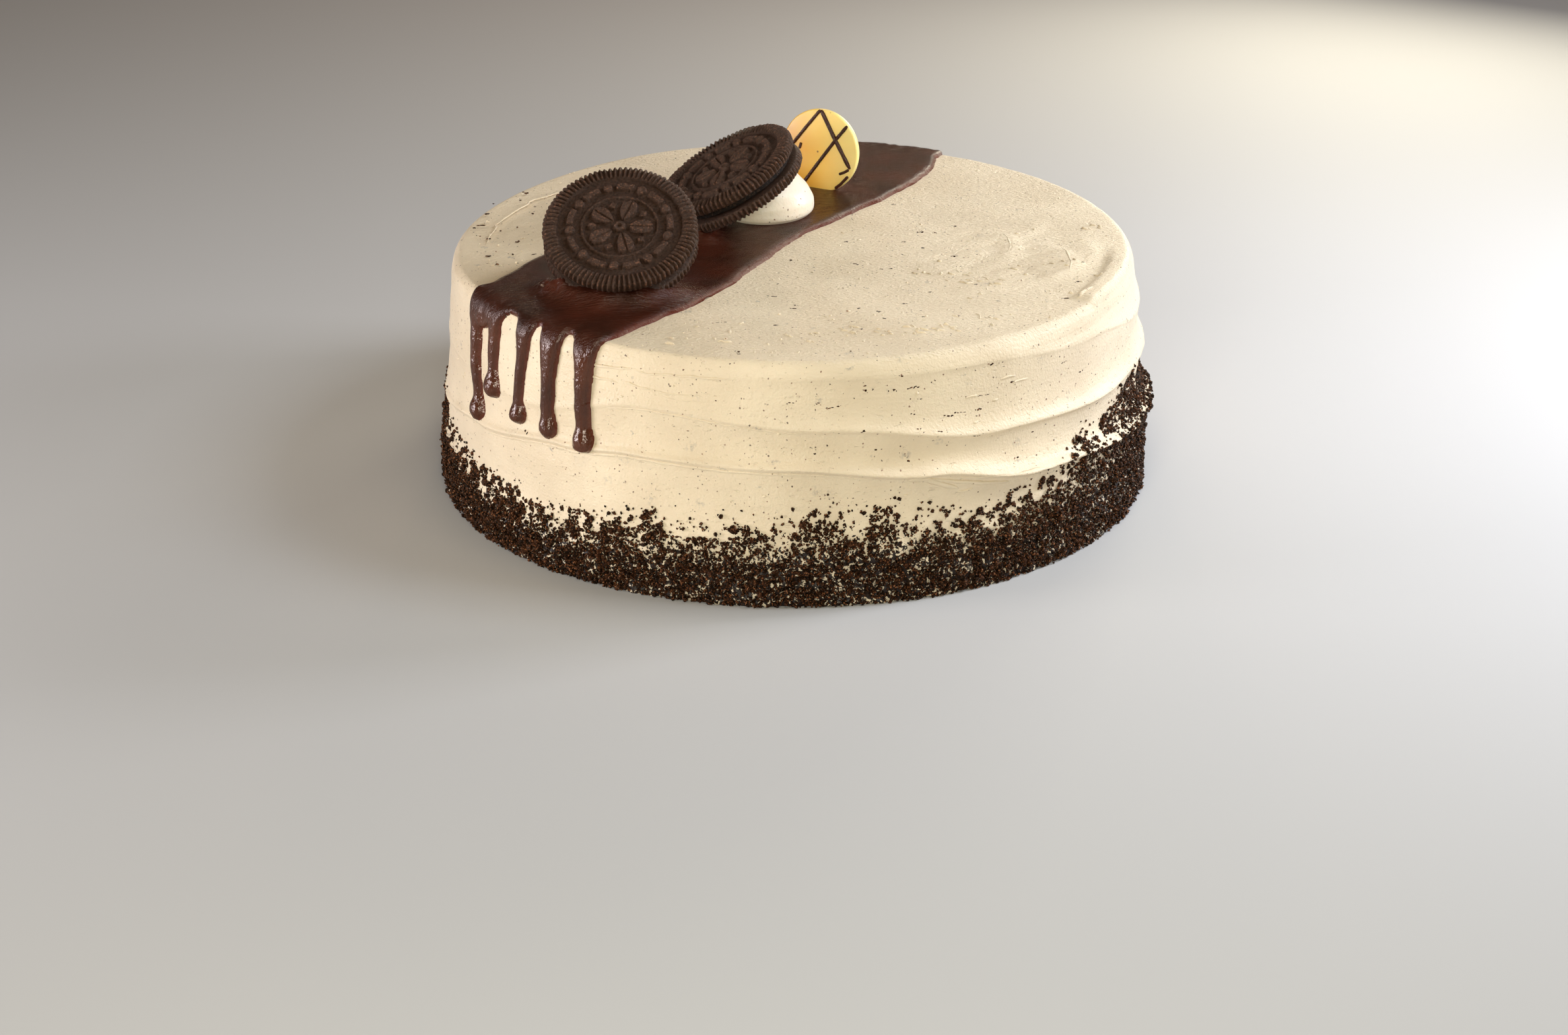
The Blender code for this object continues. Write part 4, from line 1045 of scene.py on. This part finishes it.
def wafer(seed):
    """One wafer with its face up: an embossed face, a ring of ridges, and a side that they run down."""
    obj = round_grid(RIDGES * RIDGE_STEPS // 4, FACE_RADIUS, 0)
    extrude_rim(obj, len(WAFER_PROFILE))
    x, y, level = get_points(obj).T
    row = np.rint(-level / ROW_STEP).astype(int)
    face = row == 0
    angle = np.arctan2(y, x)
    reach = np.hypot(x, y)
    ring = around_axis(angle) * 22
    uneven = 0.95 + 0.5 * lumps(ring, 1.6, seed)
    chipped = smooth_step(0.25, 0.6, lumps(ring, 0.9, seed + 3)) * 0.45
    ridge = np.clip(0.5 - 0.5 * np.cos(angle * RIDGES + 0.7 * lumps(ring, 2.5, seed + 9)), 0, 1) ** 0.6
    out, up, grooved = np.array([(0, 0, 0)] + WAFER_PROFILE)[row].T
    groove = np.minimum((1 - ridge) * uneven * 1.15 + chipped * ridge, 1.3) * grooved
    steep = smooth_step(21.0, 22.5, out)
    radius = np.where(face, reach, out * MM) - groove * 0.95 * MM * steep
    dished = 0.1 * MM * smooth_step(0, FACE_RADIUS, FACE_RADIUS - reach)
    height = np.where(face, 3.8 * MM + emboss(x, y) - dished, up * MM - groove * MM * (1 - steep))
    new = around_axis(angle, radius, height)
    grain = rough(new, [(0.0006, seed + 2, 0.09 * MM), (0.0014, seed + 4, 0.1 * MM),
                        (0.0045, seed + 5, 0.14 * MM)])
    inner = row >= len(WAFER_PROFILE) - 1
    new = new + around_axis(angle, 0.6 * ~face, 0.8) * (grain * ~inner)[:, None]
    new[:, 2] = np.maximum(new[:, 2], WAFER_INNER)
    set_points(obj, new)
    # How raised each point is, which the material uses to paint shade in the recesses and highlights on the
    # raised parts
    tips = np.where(face, smooth_step(4.1 * MM, 4.75 * MM, new[:, 2]), ridge * (1 - chipped) * grooved)
    set_attribute(obj, "raised", tips)
    shade(obj)
    return obj


def place(obj, matrix):
    """Put a piece that was made at the origin where it belongs, in its mesh."""
    obj.data.transform(matrix)
    obj.data.update()


def add_filling(which, matrix, material):
    """The dark filling, a little short of the wafers and crumbly at its edge."""
    deselect()
    bpy.ops.mesh.primitive_cylinder_add(vertices=240, radius=FILLING_RADIUS - 0.3 * MM, depth=1.8 * MM,
                                        location=(0, 0, 0))
    obj = bpy.context.object
    bpy.ops.object.mode_set(mode="EDIT")
    bpy.ops.mesh.select_all(action="SELECT")
    bpy.ops.mesh.bevel(offset=0.25 * MM, segments=2)
    bpy.ops.object.mode_set(mode="OBJECT")
    places = get_points(obj)
    reach = np.hypot(places[:, 0], places[:, 1]).clip(1e-9)
    swing = rough(places, [(0.0015, 3.0, 0.35 * MM), (0.006, 6.0, 0.5 * MM)])
    places[:, :2] *= (1 + np.where(reach > 15 * MM, swing / reach, 0))[:, None]
    set_points(obj, places)
    shade(obj)
    place(obj, matrix)
    return finish_piece(obj, f"cookie_{which}_cream_filling", material,
                        [f"cookie_{which}_filling"])


def add_cookies(wafer_material, filling_material):
    """Both sandwich cookies."""
    for number, which in enumerate(COOKIES):
        matrix = cookie_frame(which)
        spin = Matrix.Rotation(math.radians(17 + 40 * number), 4, "Z")
        for side, flip in (("top", Matrix.Identity(4)), ("bottom", Matrix.Rotation(math.pi, 4, "X"))):
            obj = wafer(10.0 * number + len(side))
            place(obj, matrix @ flip @ spin)
            finish_piece(obj, f"cookie_{which}_{side}", wafer_material,
                         [f"cookie_{which}_{side}_wafer"])
        add_filling(which, matrix, filling_material)


def add_dollop(which, material):
    """A smooth mound of piped cream, pressed flat by the cookie that leans on it."""
    centre, radius, height = DOLLOPS[which]
    deselect()
    bpy.ops.mesh.primitive_uv_sphere_add(segments=128, ring_count=96, radius=1, location=(0, 0, 0))
    obj = bpy.context.object
    x, y, level = get_points(obj).T
    rise = (level + 1) / 2
    angle = np.arctan2(y, x)
    up = 1 - np.cos(rise * math.pi / 2) ** 1.3
    shifts = np.linspace(-0.04, 0.04, 9)
    width = sum(np.interp(up + shift, DOLLOP_RISE, DOLLOP_WIDTH) for shift in shifts) / len(shifts)
    width = np.where((rise > 0.999) | (rise < 0.001), 0, width)
    width = width * (1 + 0.025 * lumps(around_axis(angle, 1.0, up * 2), 0.9, 4.0))
    mound = around_axis(angle, width * radius, up * (height - 0.2 * MM))
    local = moved(mound + (*centre, CAKE_HEIGHT + GANACHE_THICKNESS), cookie_frame(which).inverted())
    # The cookie presses flat what would reach into it
    under = -WAFER_FACE + 0.1 * MM
    within = np.hypot(local[:, 0], local[:, 1]) < COOKIE_RADIUS + 3 * MM
    local[within & (local[:, 2] > under), 2] = under
    set_points(obj, moved(local, cookie_frame(which)))
    shade(obj)
    return finish_piece(obj, f"cream_{which}", material, [f"cream_dollop_{which}"])


def disc_frame():
    """Frame of the disc: +Z out of its face, +Y up along it."""
    lean = Matrix.Rotation(math.radians(90 - DISC_LEAN), 4, "X")
    return Matrix.Translation(DISC_CENTRE) @ Matrix.Rotation(math.radians(DISC_TURN), 4, "Z") @ lean


def add_disc(material):
    """The white chocolate disc with a soft edge, moulded a little unevenly."""
    deselect()
    bpy.ops.mesh.primitive_cylinder_add(vertices=160, radius=DISC_RADIUS, depth=DISC_THICKNESS,
                                        end_fill_type="TRIFAN", location=(0, 0, 0))
    obj = bpy.context.object
    rim = obj.modifiers.new("rim", "BEVEL")
    rim.width = 0.55 * MM
    rim.segments = 4
    rim.limit_method = "ANGLE"
    rim.angle_limit = math.radians(40)
    bpy.ops.object.modifier_apply(modifier="rim")
    places = get_points(obj)
    places[:, :2] *= (1 + 0.004 * lumps(places, 0.012, 2.5))[:, None]
    set_points(obj, places)
    bpy.ops.object.shade_smooth_by_angle(angle=math.radians(35))
    place(obj, disc_frame())
    return finish_piece(obj, "white_disc", material, ["white_chocolate_disc"])


def add_disc_lines(material):
    """Thin dark lines drawn across the disc's face, flattened where they lie on it."""
    lines = []
    for number, (points, width) in enumerate(DISC_LINES):
        curve = bpy.data.curves.new("line", "CURVE")
        curve.dimensions = "3D"
        curve.bevel_depth = 1
        curve.bevel_resolution = 3
        curve.use_fill_caps = True
        spline = curve.splines.new("POLY")
        path = [Vector(start).lerp(Vector(end), step / LINE_STEPS)
                for start, end in zip(points, points[1:]) for step in range(LINE_STEPS)]
        path.append(Vector(points[-1]))
        spline.points.add(len(path) - 1)
        for index, (point, spot) in enumerate(zip(spline.points, path)):
            from_end = min(index, len(path) - 1 - index)
            round_end = math.sqrt(min(1, 0.25 + from_end / 2))
            swing = 1 + 0.12 * noise.noise(Vector((index * 0.35, number * 7.0, 0)))
            point.co = (spot.x * DISC_RADIUS, spot.y * DISC_RADIUS, 0, 1)
            point.radius = width * 0.6 * MM * swing * round_end
        line = bpy.data.objects.new("line", curve)
        bpy.context.scene.collection.objects.link(line)
        lines.append(line)
    deselect()
    for line in lines:
        line.select_set(True)
    bpy.context.view_layer.objects.active = lines[0]
    bpy.ops.object.convert(target="MESH")
    bpy.ops.object.join()
    obj = bpy.context.object
    places = get_points(obj)
    places[:, 2] = places[:, 2] * 2 * LINE_RISE / MM + DISC_THICKNESS / 2
    set_points(obj, places)
    shade(obj)
    place(obj, disc_frame())
    return finish_piece(obj, "disc_lines", material)


def new_material(name, roughness, specular, tint=(1.0, 1.0, 1.0)):
    """A Principled material, its tree and its shader."""
    material = bpy.data.materials.new(name)
    material.use_nodes = True
    tree = material.node_tree
    shader = tree.nodes["Principled BSDF"]
    shader.inputs["Roughness"].default_value = roughness
    shader.inputs["Specular IOR Level"].default_value = specular
    shader.inputs["Specular Tint"].default_value = (*tint, 1.0)
    return material, tree, shader


def paint(tree, shader, **looks):
    """Feed inputs of the shader, named with _ for a space, from sockets."""
    for name, socket in looks.items():
        tree.links.new(socket, shader.inputs[name.replace("_", " ")])


def let_light_in(shader, weight, blue, reach):
    """Light that goes a little way into the surface, redder the deeper it goes."""
    shader.inputs["Subsurface Weight"].default_value = weight
    shader.inputs["Subsurface Radius"].default_value = (1.0, 0.6, blue)
    shader.inputs["Subsurface Scale"].default_value = reach


def add_node(tree, kind, **values):
    """A node with its properties and inputs set by name."""
    node = tree.nodes.new(kind)
    for name, value in values.items():
        if hasattr(node, name):
            setattr(node, name, value)
        else:
            node.inputs[name.replace("_", " ")].default_value = value
    return node


def noise_node(tree, vector, scale, detail=3.0, roughness=0.5):
    """Noise of so many lumps a metre."""
    node = add_node(tree, "ShaderNodeTexNoise", Scale=scale, Detail=detail, Roughness=roughness)
    tree.links.new(vector, node.inputs["Vector"])
    return node.outputs["Fac"]


def stretch(tree, vector, scale, turn=0.0):
    """The same place with its axes scaled."""
    node = tree.nodes.new("ShaderNodeMapping")
    node.inputs["Scale"].default_value = scale
    node.inputs["Rotation"].default_value = (0, 0, turn)
    tree.links.new(vector, node.inputs["Vector"])
    return node.outputs["Vector"]


def ramp(tree, value, low, high, out_low=0.0, out_high=1.0):
    """Value mapped from low..high to out_low..out_high, held at both ends."""
    node = tree.nodes.new("ShaderNodeMapRange")
    node.inputs["From Min"].default_value = low
    node.inputs["From Max"].default_value = high
    node.inputs["To Min"].default_value = out_low
    node.inputs["To Max"].default_value = out_high
    tree.links.new(value, node.inputs["Value"])
    return node.outputs["Result"]


def mix_colour(tree, mask, first, second, kind="MIX"):
    """Mix two colours, each a socket or a value, by a mask."""
    node = tree.nodes.new("ShaderNodeMix")
    node.data_type = "RGBA"
    node.blend_type = kind
    for number, colour in ((6, first), (7, second)):
        if isinstance(colour, tuple):
            node.inputs[number].default_value = (*colour, 1)
        else:
            tree.links.new(colour, node.inputs[number])
    if isinstance(mask, float):
        node.inputs[0].default_value = mask
    else:
        tree.links.new(mask, node.inputs[0])
    return node.outputs[2]


def calculate(tree, operation, first, second):
    """A Math node on sockets or numbers."""
    node = tree.nodes.new("ShaderNodeMath")
    node.operation = operation
    for number, value in enumerate((first, second)):
        if isinstance(value, (int, float)):
            node.inputs[number].default_value = value
        else:
            tree.links.new(value, node.inputs[number])
    return node.outputs["Value"]


def times(tree, first, second):
    """Two sockets or numbers multiplied."""
    return calculate(tree, "MULTIPLY", first, second)


def bumps(tree, *layers):
    """Bumps one over another, each given as its height, distance and strength."""
    normal = None
    for height, distance, strength in layers:
        node = add_node(tree, "ShaderNodeBump", Distance=distance, Strength=strength)
        tree.links.new(height, node.inputs["Height"])
        if normal:
            tree.links.new(normal, node.inputs["Normal"])
        normal = node.outputs["Normal"]
    return normal


def object_place(tree):
    """Object coordinates."""
    return tree.nodes.new("ShaderNodeTexCoord").outputs["Object"]


def read_attribute(tree, name):
    """A number stored on the points."""
    node = tree.nodes.new("ShaderNodeAttribute")
    node.attribute_name = name
    return node.outputs["Fac"]


def cell_specks(tree, vector, scale, size, rarity):
    """Mask of small round specks, one in some of the cells of a Voronoi pattern, each of its own size."""
    node = add_node(tree, "ShaderNodeTexVoronoi", Scale=scale, Randomness=1.0)
    tree.links.new(vector, node.inputs["Vector"])
    split = tree.nodes.new("ShaderNodeSeparateColor")
    tree.links.new(node.outputs["Color"], split.inputs["Color"])
    chosen = ramp(tree, split.outputs["Red"], rarity, 1.0, 0.0, size)
    return ramp(tree, calculate(tree, "SUBTRACT", chosen, node.outputs["Distance"]), -0.02, 0.03)


def shaken(tree, vector, scale, reach):
    """The same place moved a little by noise."""
    wobble = add_node(tree, "ShaderNodeTexNoise", Scale=scale, Detail=1.0)
    tree.links.new(vector, wobble.inputs["Vector"])
    shifted = tree.nodes.new("ShaderNodeVectorMath")
    shifted.operation = "MULTIPLY_ADD"
    shifted.inputs[1].default_value = (reach, reach, reach)
    tree.links.new(wobble.outputs["Color"], shifted.inputs[0])
    tree.links.new(vector, shifted.inputs[2])
    return shifted.outputs["Vector"]


def specks_group():
    """Cookie specks in cream: fine ones, larger ones drawn out by the spatula, and grey ones under it."""
    group = bpy.data.node_groups.new("cookie specks", "ShaderNodeTree")
    group.interface.new_socket("Vector", in_out="INPUT", socket_type="NodeSocketVector")
    for name in ("Fine", "Large", "Smudges"):
        group.interface.new_socket(name, in_out="OUTPUT", socket_type="NodeSocketFloat")
    entry = group.nodes.new("NodeGroupInput").outputs["Vector"]
    leave = group.nodes.new("NodeGroupOutput")
    near = shaken(group, entry, 2600.0, 0.5 * MM)
    fine = cell_specks(group, near, 760.0, 0.21, 0.42)
    small = cell_specks(group, near, 430.0, 0.12, 0.62)
    drawn = stretch(group, shaken(group, entry, 1500.0, 1.1 * MM), (1.0, 1.0, 2.4))
    vague = stretch(group, shaken(group, entry, 700.0, 2.6 * MM), (1.0, 1.0, 1.8))
    cloud = cell_specks(group, vague, 120.0, 0.16, 0.5)
    paint(group, leave, Fine=calculate(group, "MAXIMUM", fine, small),
          Large=cell_specks(group, drawn, 150.0, 0.085, 0.62),
          Smudges=times(group, cloud, ramp(group, noise_node(group, entry, 1100.0, 2.0), 0.35, 0.7)))
    return group


def height_share(tree, place_of, low, high):
    """0 below one height of the cake and 1 above another."""
    split = tree.nodes.new("ShaderNodeSeparateXYZ")
    tree.links.new(place_of, split.inputs["Vector"])
    return ramp(tree, split.outputs["Z"], low, high)


def cream_colours(tree, here, light, dark, specks):
    """Colour of cream with specks in it, and where they are."""
    base = mix_colour(tree, ramp(tree, noise_node(tree, here, 45.0, 4.0), 0.35, 0.7), light, dark)
    node = tree.nodes.new("ShaderNodeGroup")
    node.node_tree = specks
    tree.links.new(here, node.inputs["Vector"])
    fine, large = node.outputs["Fine"], node.outputs["Large"]
    colour = mix_colour(tree, times(tree, node.outputs["Smudges"], 0.55), base, (0.2, 0.19, 0.18))
    fine_tone = mix_colour(tree, ramp(tree, noise_node(tree, here, 400.0, 1.0), 0.4, 0.6),
                           (0.075, 0.045, 0.032), (0.27, 0.13, 0.075))
    colour = mix_colour(tree, times(tree, fine, 0.9), colour, fine_tone)
    large_tone = mix_colour(tree, ramp(tree, noise_node(tree, here, 1700.0, 2.0), 0.4, 0.6),
                            (0.03, 0.022, 0.02), (0.15, 0.075, 0.045))
    return mix_colour(tree, large, colour, large_tone), calculate(tree, "MAXIMUM", fine, large)


def frosting_material(specks):
    """Buttercream with specks, spatula marks, small tears and a dark crumb layer at the foot."""
    material, tree, shader = new_material("frosting", 0.5, 0.35)
    here = object_place(tree)
    colour, speck_mask = cream_colours(tree, here, (0.845, 0.703, 0.502), (0.75, 0.612, 0.426), specks)
    patchy = ramp(tree, noise_node(tree, here, 1000.0), 0.42, 0.62)
    smear = ramp(tree, times(tree, read_attribute(tree, "smear"), patchy), 0.1, 0.9, 0.0, 0.5)
    colour = mix_colour(tree, smear, colour, (0.2, 0.19, 0.19))
    ragged = ramp(tree, noise_node(tree, here, 850.0, 3.0, 0.6), 0.3, 0.7, -0.75, 0.75)
    covered = calculate(tree, "ADD", times(tree, read_attribute(tree, "crumb_cover"), 1.15), ragged)
    crumb_tone = mix_colour(tree, noise_node(tree, here, 1500.0, 2.0), (0.006, 0.0035, 0.0025),
                            (0.024, 0.011, 0.0065))
    colour = mix_colour(tree, ramp(tree, covered, 0.9, 0.99), colour, crumb_tone)
    flat_top = height_share(tree, here, CAKE_HEIGHT - 1.5 * MM, CAKE_HEIGHT - 0.2 * MM)
    marks = noise_node(tree, stretch(tree, here, (1.0, 1.0, 9.0)), 70.0, 5.0, 0.62)
    leather = noise_node(tree, stretch(tree, here, (0.8, 2.2, 1.0), math.radians(-28)), 750.0, 4.0, 0.6)
    tears = ramp(tree, noise_node(tree, stretch(tree, here, (1.0, 1.0, 2.5)), 420.0), 0.66, 0.74)
    pits = cell_specks(tree, here, 420.0, 0.2, 0.78)
    normal = bumps(tree, (marks, 0.35 * MM, 0.45),
                   (times(tree, leather, ramp(tree, flat_top, 0.0, 1.0, 0.3, 1.0)), 0.65 * MM, 0.9),
                   (noise_node(tree, here, 1500.0), 0.16 * MM, 0.9),
                   (times(tree, tears, -1.0), 0.3 * MM, 0.6), (times(tree, pits, -1.0), 0.25 * MM, 0.6),
                   (speck_mask, 0.12 * MM, 0.5))
    paint(tree, shader, Base_Color=colour, Normal=normal, Roughness=ramp(tree, marks, 0.3, 0.7, 0.36, 0.52))
    let_light_in(shader, 0.05, 0.35, 0.8 * MM)
    return material


def crumb_material():
    """Dark baked crumbs, some of them redder, with a little shine, and brighter patches painted in as
    glints.
    """
    material, tree, shader = new_material("cookie crumbs", 0.5, 0.24, (1.0, 0.62, 0.38))
    here = object_place(tree)
    dark = mix_colour(tree, ramp(tree, read_attribute(tree, "tint"), 0.4, 1.0), (0.0042, 0.0017, 0.0009),
                      (0.042, 0.0138, 0.0056))
    # Patches of a brighter brown: painted highlights that stand in for glints on the crumbs
    painted_glints = ramp(tree, noise_node(tree, here, 1900.0, 2.0), 0.57, 0.67)
    paint(tree, shader, Base_Color=mix_colour(tree, painted_glints, dark, (0.28, 0.11, 0.046)),
          Normal=bumps(tree, (noise_node(tree, here, 2600.0), 0.3 * MM, 0.9)),
          Roughness=ramp(tree, noise_node(tree, here, 1400.0, 1.0), 0.4, 0.6, 0.24, 0.75))
    return material


def ganache_material(name, band=True):
    """Glossy chocolate with painted light and shade, lighter where it hangs and darker on the top; redder at
    the band's edges, where it is thinner, and as painted light on the clots by the cookies; streaked on the
    top and bubbly in the drips.
    """
    material, tree, shader = new_material(name, 0.2, 0.42, (1.0, 0.86, 0.8))
    here = object_place(tree)
    on_top = height_share(tree, here, CAKE_HEIGHT - 5 * MM, CAKE_HEIGHT - 1 * MM)
    clouds = ramp(tree, noise_node(tree, here, 70.0), 0.3, 0.7)
    # Painted light and shade: the hanging chocolate gets a lighter, redder tone and the top a darker one
    hanging = mix_colour(tree, clouds, (0.048, 0.0155, 0.008), (0.09, 0.028, 0.0135))
    lying_painted_shade = mix_colour(tree, clouds, (0.026, 0.0066, 0.0031), (0.062, 0.0135, 0.006))
    colour = mix_colour(tree, on_top, hanging, lying_painted_shade)
    if band:
        # Lighter red at the band's thinnest edges, and painted light on the clots beside the cookies
        thin_and_clot_light = ramp(tree, read_attribute(tree, "thin_and_clot_light"), 0.15, 0.95, 0.0, 0.85)
        colour = mix_colour(tree, thin_and_clot_light, colour, (0.12, 0.026, 0.013))
        # The rim of the band on the top is duller than the rest
        paint(tree, shader, Specular_IOR_Level=ramp(tree, read_attribute(tree, "rim"), 0.1, 0.5, 0.55, 0.1))
    run = stretch(tree, here, (0.35, 2.6, 1.0), math.radians(-55))
    streaks = times(tree, noise_node(tree, run, 560.0, 4.0, 0.7), on_top)
    bubbles = noise_node(tree, stretch(tree, here, (1.0, 1.0, 0.6)), 1300.0, 2.0)
    bubbles = times(tree, bubbles, ramp(tree, on_top, 0.0, 1.0, 1.0, 0.4))
    uneven = ramp(tree, noise_node(tree, here, 150.0), 0.3, 0.7, 0.0, 0.07)
    paint(tree, shader, Base_Color=colour,
          Normal=bumps(tree, (streaks, 0.6 * MM, 0.9), (bubbles, 0.3 * MM, 0.9)),
          Roughness=calculate(tree, "ADD", uneven, ramp(tree, on_top, 0.0, 1.0, 0.12, 0.08)))
    return material


def wafer_material():
    """Dark cocoa wafer, grainy, with painted shade in its recesses and painted highlights, lighter and
    redder, on its raised parts and ridges.
    """
    material, tree, shader = new_material("cocoa wafer", 0.6, 0.38, (1.0, 0.78, 0.6))
    here = object_place(tree)
    grain = noise_node(tree, here, 1500.0, 5.0, 0.7)
    light = ramp(tree, grain, 0.35, 0.7)
    raised = read_attribute(tree, "raised")
    # Painted shade and highlight: recesses and grooves get the darker colours, raised parts and ridge crests
    # the lighter ones
    low = mix_colour(tree, light, (0.0125, 0.0058, 0.0037), (0.072, 0.034, 0.021))
    high = mix_colour(tree, light, (0.022, 0.0108, 0.007), (0.092, 0.045, 0.028))
    # Lighter, redder patches on the raised parts: painted highlights
    raised_painted_highlight = times(tree, times(tree, raised, ramp(tree, noise_node(tree, here, 1700.0, 4.0), 0.56, 0.65)), 0.7)
    colour = mix_colour(tree, raised_painted_highlight, mix_colour(tree, raised, low, high), (0.25, 0.105, 0.058))
    pits = cell_specks(tree, here, 900.0, 0.3, 0.55)
    normal = bumps(tree, (grain, 0.55 * MM, 1.0), (times(tree, pits, -1.0), 0.4 * MM, 1.0))
    paint(tree, shader, Base_Color=colour, Normal=normal, Roughness=ramp(tree, grain, 0.3, 0.7, 0.3, 0.65))
    return material


def filling_material():
    """Very dark, crumbly filling in the gap of a cookie."""
    material, tree, shader = new_material("cookie filling", 0.9, 0.2)
    bits = ramp(tree, noise_node(tree, object_place(tree), 1500.0), 0.5, 0.75)
    paint(tree, shader, Base_Color=mix_colour(tree, bits, (0.012, 0.008, 0.006), (0.08, 0.045, 0.028)),
          Normal=bumps(tree, (bits, 0.4 * MM, 0.9)))
    return material


def cream_material(specks):
    """Smooth cream with specks."""
    material, tree, shader = new_material("piped cream", 0.42, 0.4)
    here = object_place(tree)
    colour, speck_mask = cream_colours(tree, here, (0.88, 0.77, 0.6), (0.84, 0.71, 0.53), specks)
    pits = cell_specks(tree, here, 500.0, 0.25, 0.7)
    normal = bumps(tree, (noise_node(tree, here, 900.0), 0.14 * MM, 0.8),
                   (times(tree, pits, -1.0), 0.3 * MM, 0.9), (speck_mask, 0.1 * MM, 0.5))
    paint(tree, shader, Base_Color=colour, Normal=normal)
    let_light_in(shader, 0.12, 0.35, 2 * MM)
    return material


def white_chocolate_material():
    """Waxy pale yellow chocolate, deeper in tone towards one side."""
    material, tree, shader = new_material("white chocolate", 0.28, 0.45)
    here = object_place(tree)
    turn = math.radians(DISC_TURN)
    direction = Vector((math.cos(turn), math.sin(turn), 0.25))
    across = tree.nodes.new("ShaderNodeVectorMath")
    across.operation = "DOT_PRODUCT"
    across.inputs[1].default_value = direction
    tree.links.new(here, across.inputs[0])
    middle = direction.dot(Vector(DISC_CENTRE))
    deeper = ramp(tree, across.outputs["Value"], middle - 9 * MM, middle + 11.5 * MM, 1.0, 0.0)
    uneven = times(tree, deeper, ramp(tree, noise_node(tree, here, 90.0, 2.0), 0.3, 0.7, 0.75, 1.15))
    tone = mix_colour(tree, uneven, (1.0, 0.79, 0.3), (0.93, 0.46, 0.022))
    tone = mix_colour(tree, cell_specks(tree, here, 260.0, 0.1, 0.85), tone, (0.25, 0.12, 0.05))
    waxy = noise_node(tree, here, 200.0, 2.0)
    paint(tree, shader, Base_Color=tone, Normal=bumps(tree, (waxy, 0.1 * MM, 0.2)))
    let_light_in(shader, 0.25, 0.25, 2 * MM)
    return material


def floor_material():
    """Plain pale floor."""
    material, _, shader = new_material("pale floor", 0.7, 0.2)
    shader.inputs["Base Color"].default_value = (0.52, 0.51, 0.5, 1)
    return material


def add_stage():
    """A pale floor, and soft studio light from all sides and above."""
    deselect()
    bpy.ops.mesh.primitive_plane_add(size=6, location=(0, 0, 0))
    floor = bpy.context.object
    floor.name = "floor"
    floor.data.materials.append(floor_material())
    for name, azimuth, elevation, distance, size, power, colour in LAMPS:
        around, up = math.radians(azimuth), math.radians(elevation)
        outward = Vector((math.cos(up) * math.cos(around), math.cos(up) * math.sin(around), math.sin(up)))
        bpy.ops.object.light_add(type="AREA", location=LIT_POINT + outward * distance)
        light = bpy.context.object
        light.name = name
        light.data.shape = "SQUARE"
        light.data.size = size
        light.data.energy = power
        light.data.color = colour
        light.rotation_euler = (-outward).to_track_quat("-Z", "Y").to_euler()
    world = bpy.context.scene.world or bpy.data.worlds.new("studio")
    bpy.context.scene.world = world
    world.use_nodes = True
    background = world.node_tree.nodes["Background"]
    background.inputs["Color"].default_value = (1.0, 0.8, 0.6, 1)
    background.inputs["Strength"].default_value = 0.1
    bpy.context.scene.view_settings.view_transform = "Standard"


def add_camera():
    """The camera, where the photograph was taken from."""
    data = bpy.data.cameras.new("camera")
    data.lens = CAMERA_LENS
    data.sensor_width = CAMERA_FILM
    data.shift_x = CAMERA_SHIFT
    data.clip_start = 0.01
    camera = bpy.data.objects.new("camera", data)
    camera.location = CAMERA_PLACE
    camera.rotation_euler = (math.radians(90 - CAMERA_DOWN), 0, 0)
    bpy.context.scene.collection.objects.link(camera)
    bpy.context.scene.camera = camera


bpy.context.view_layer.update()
speck_group = specks_group()
frosting = frosting_material(speck_group)
cream = cream_material(speck_group)
crumbs = crumb_material()
add_frosting(frosting)
add_frosting_ridges(frosting)
add_specks(crumbs)
for name, count, sizes, kind, seed, spread in CRUMB_GRADES:
    scatter_crumbs(name, count, sizes, kind, seed, spread, crumbs)
add_ganache(ganache_material("ganache"))
add_cookies(wafer_material(), filling_material())
add_dollop("front", cream)
add_dollop("back", cream)
add_disc(white_chocolate_material())
add_disc_lines(ganache_material("line chocolate", False))
add_stage()
add_camera()
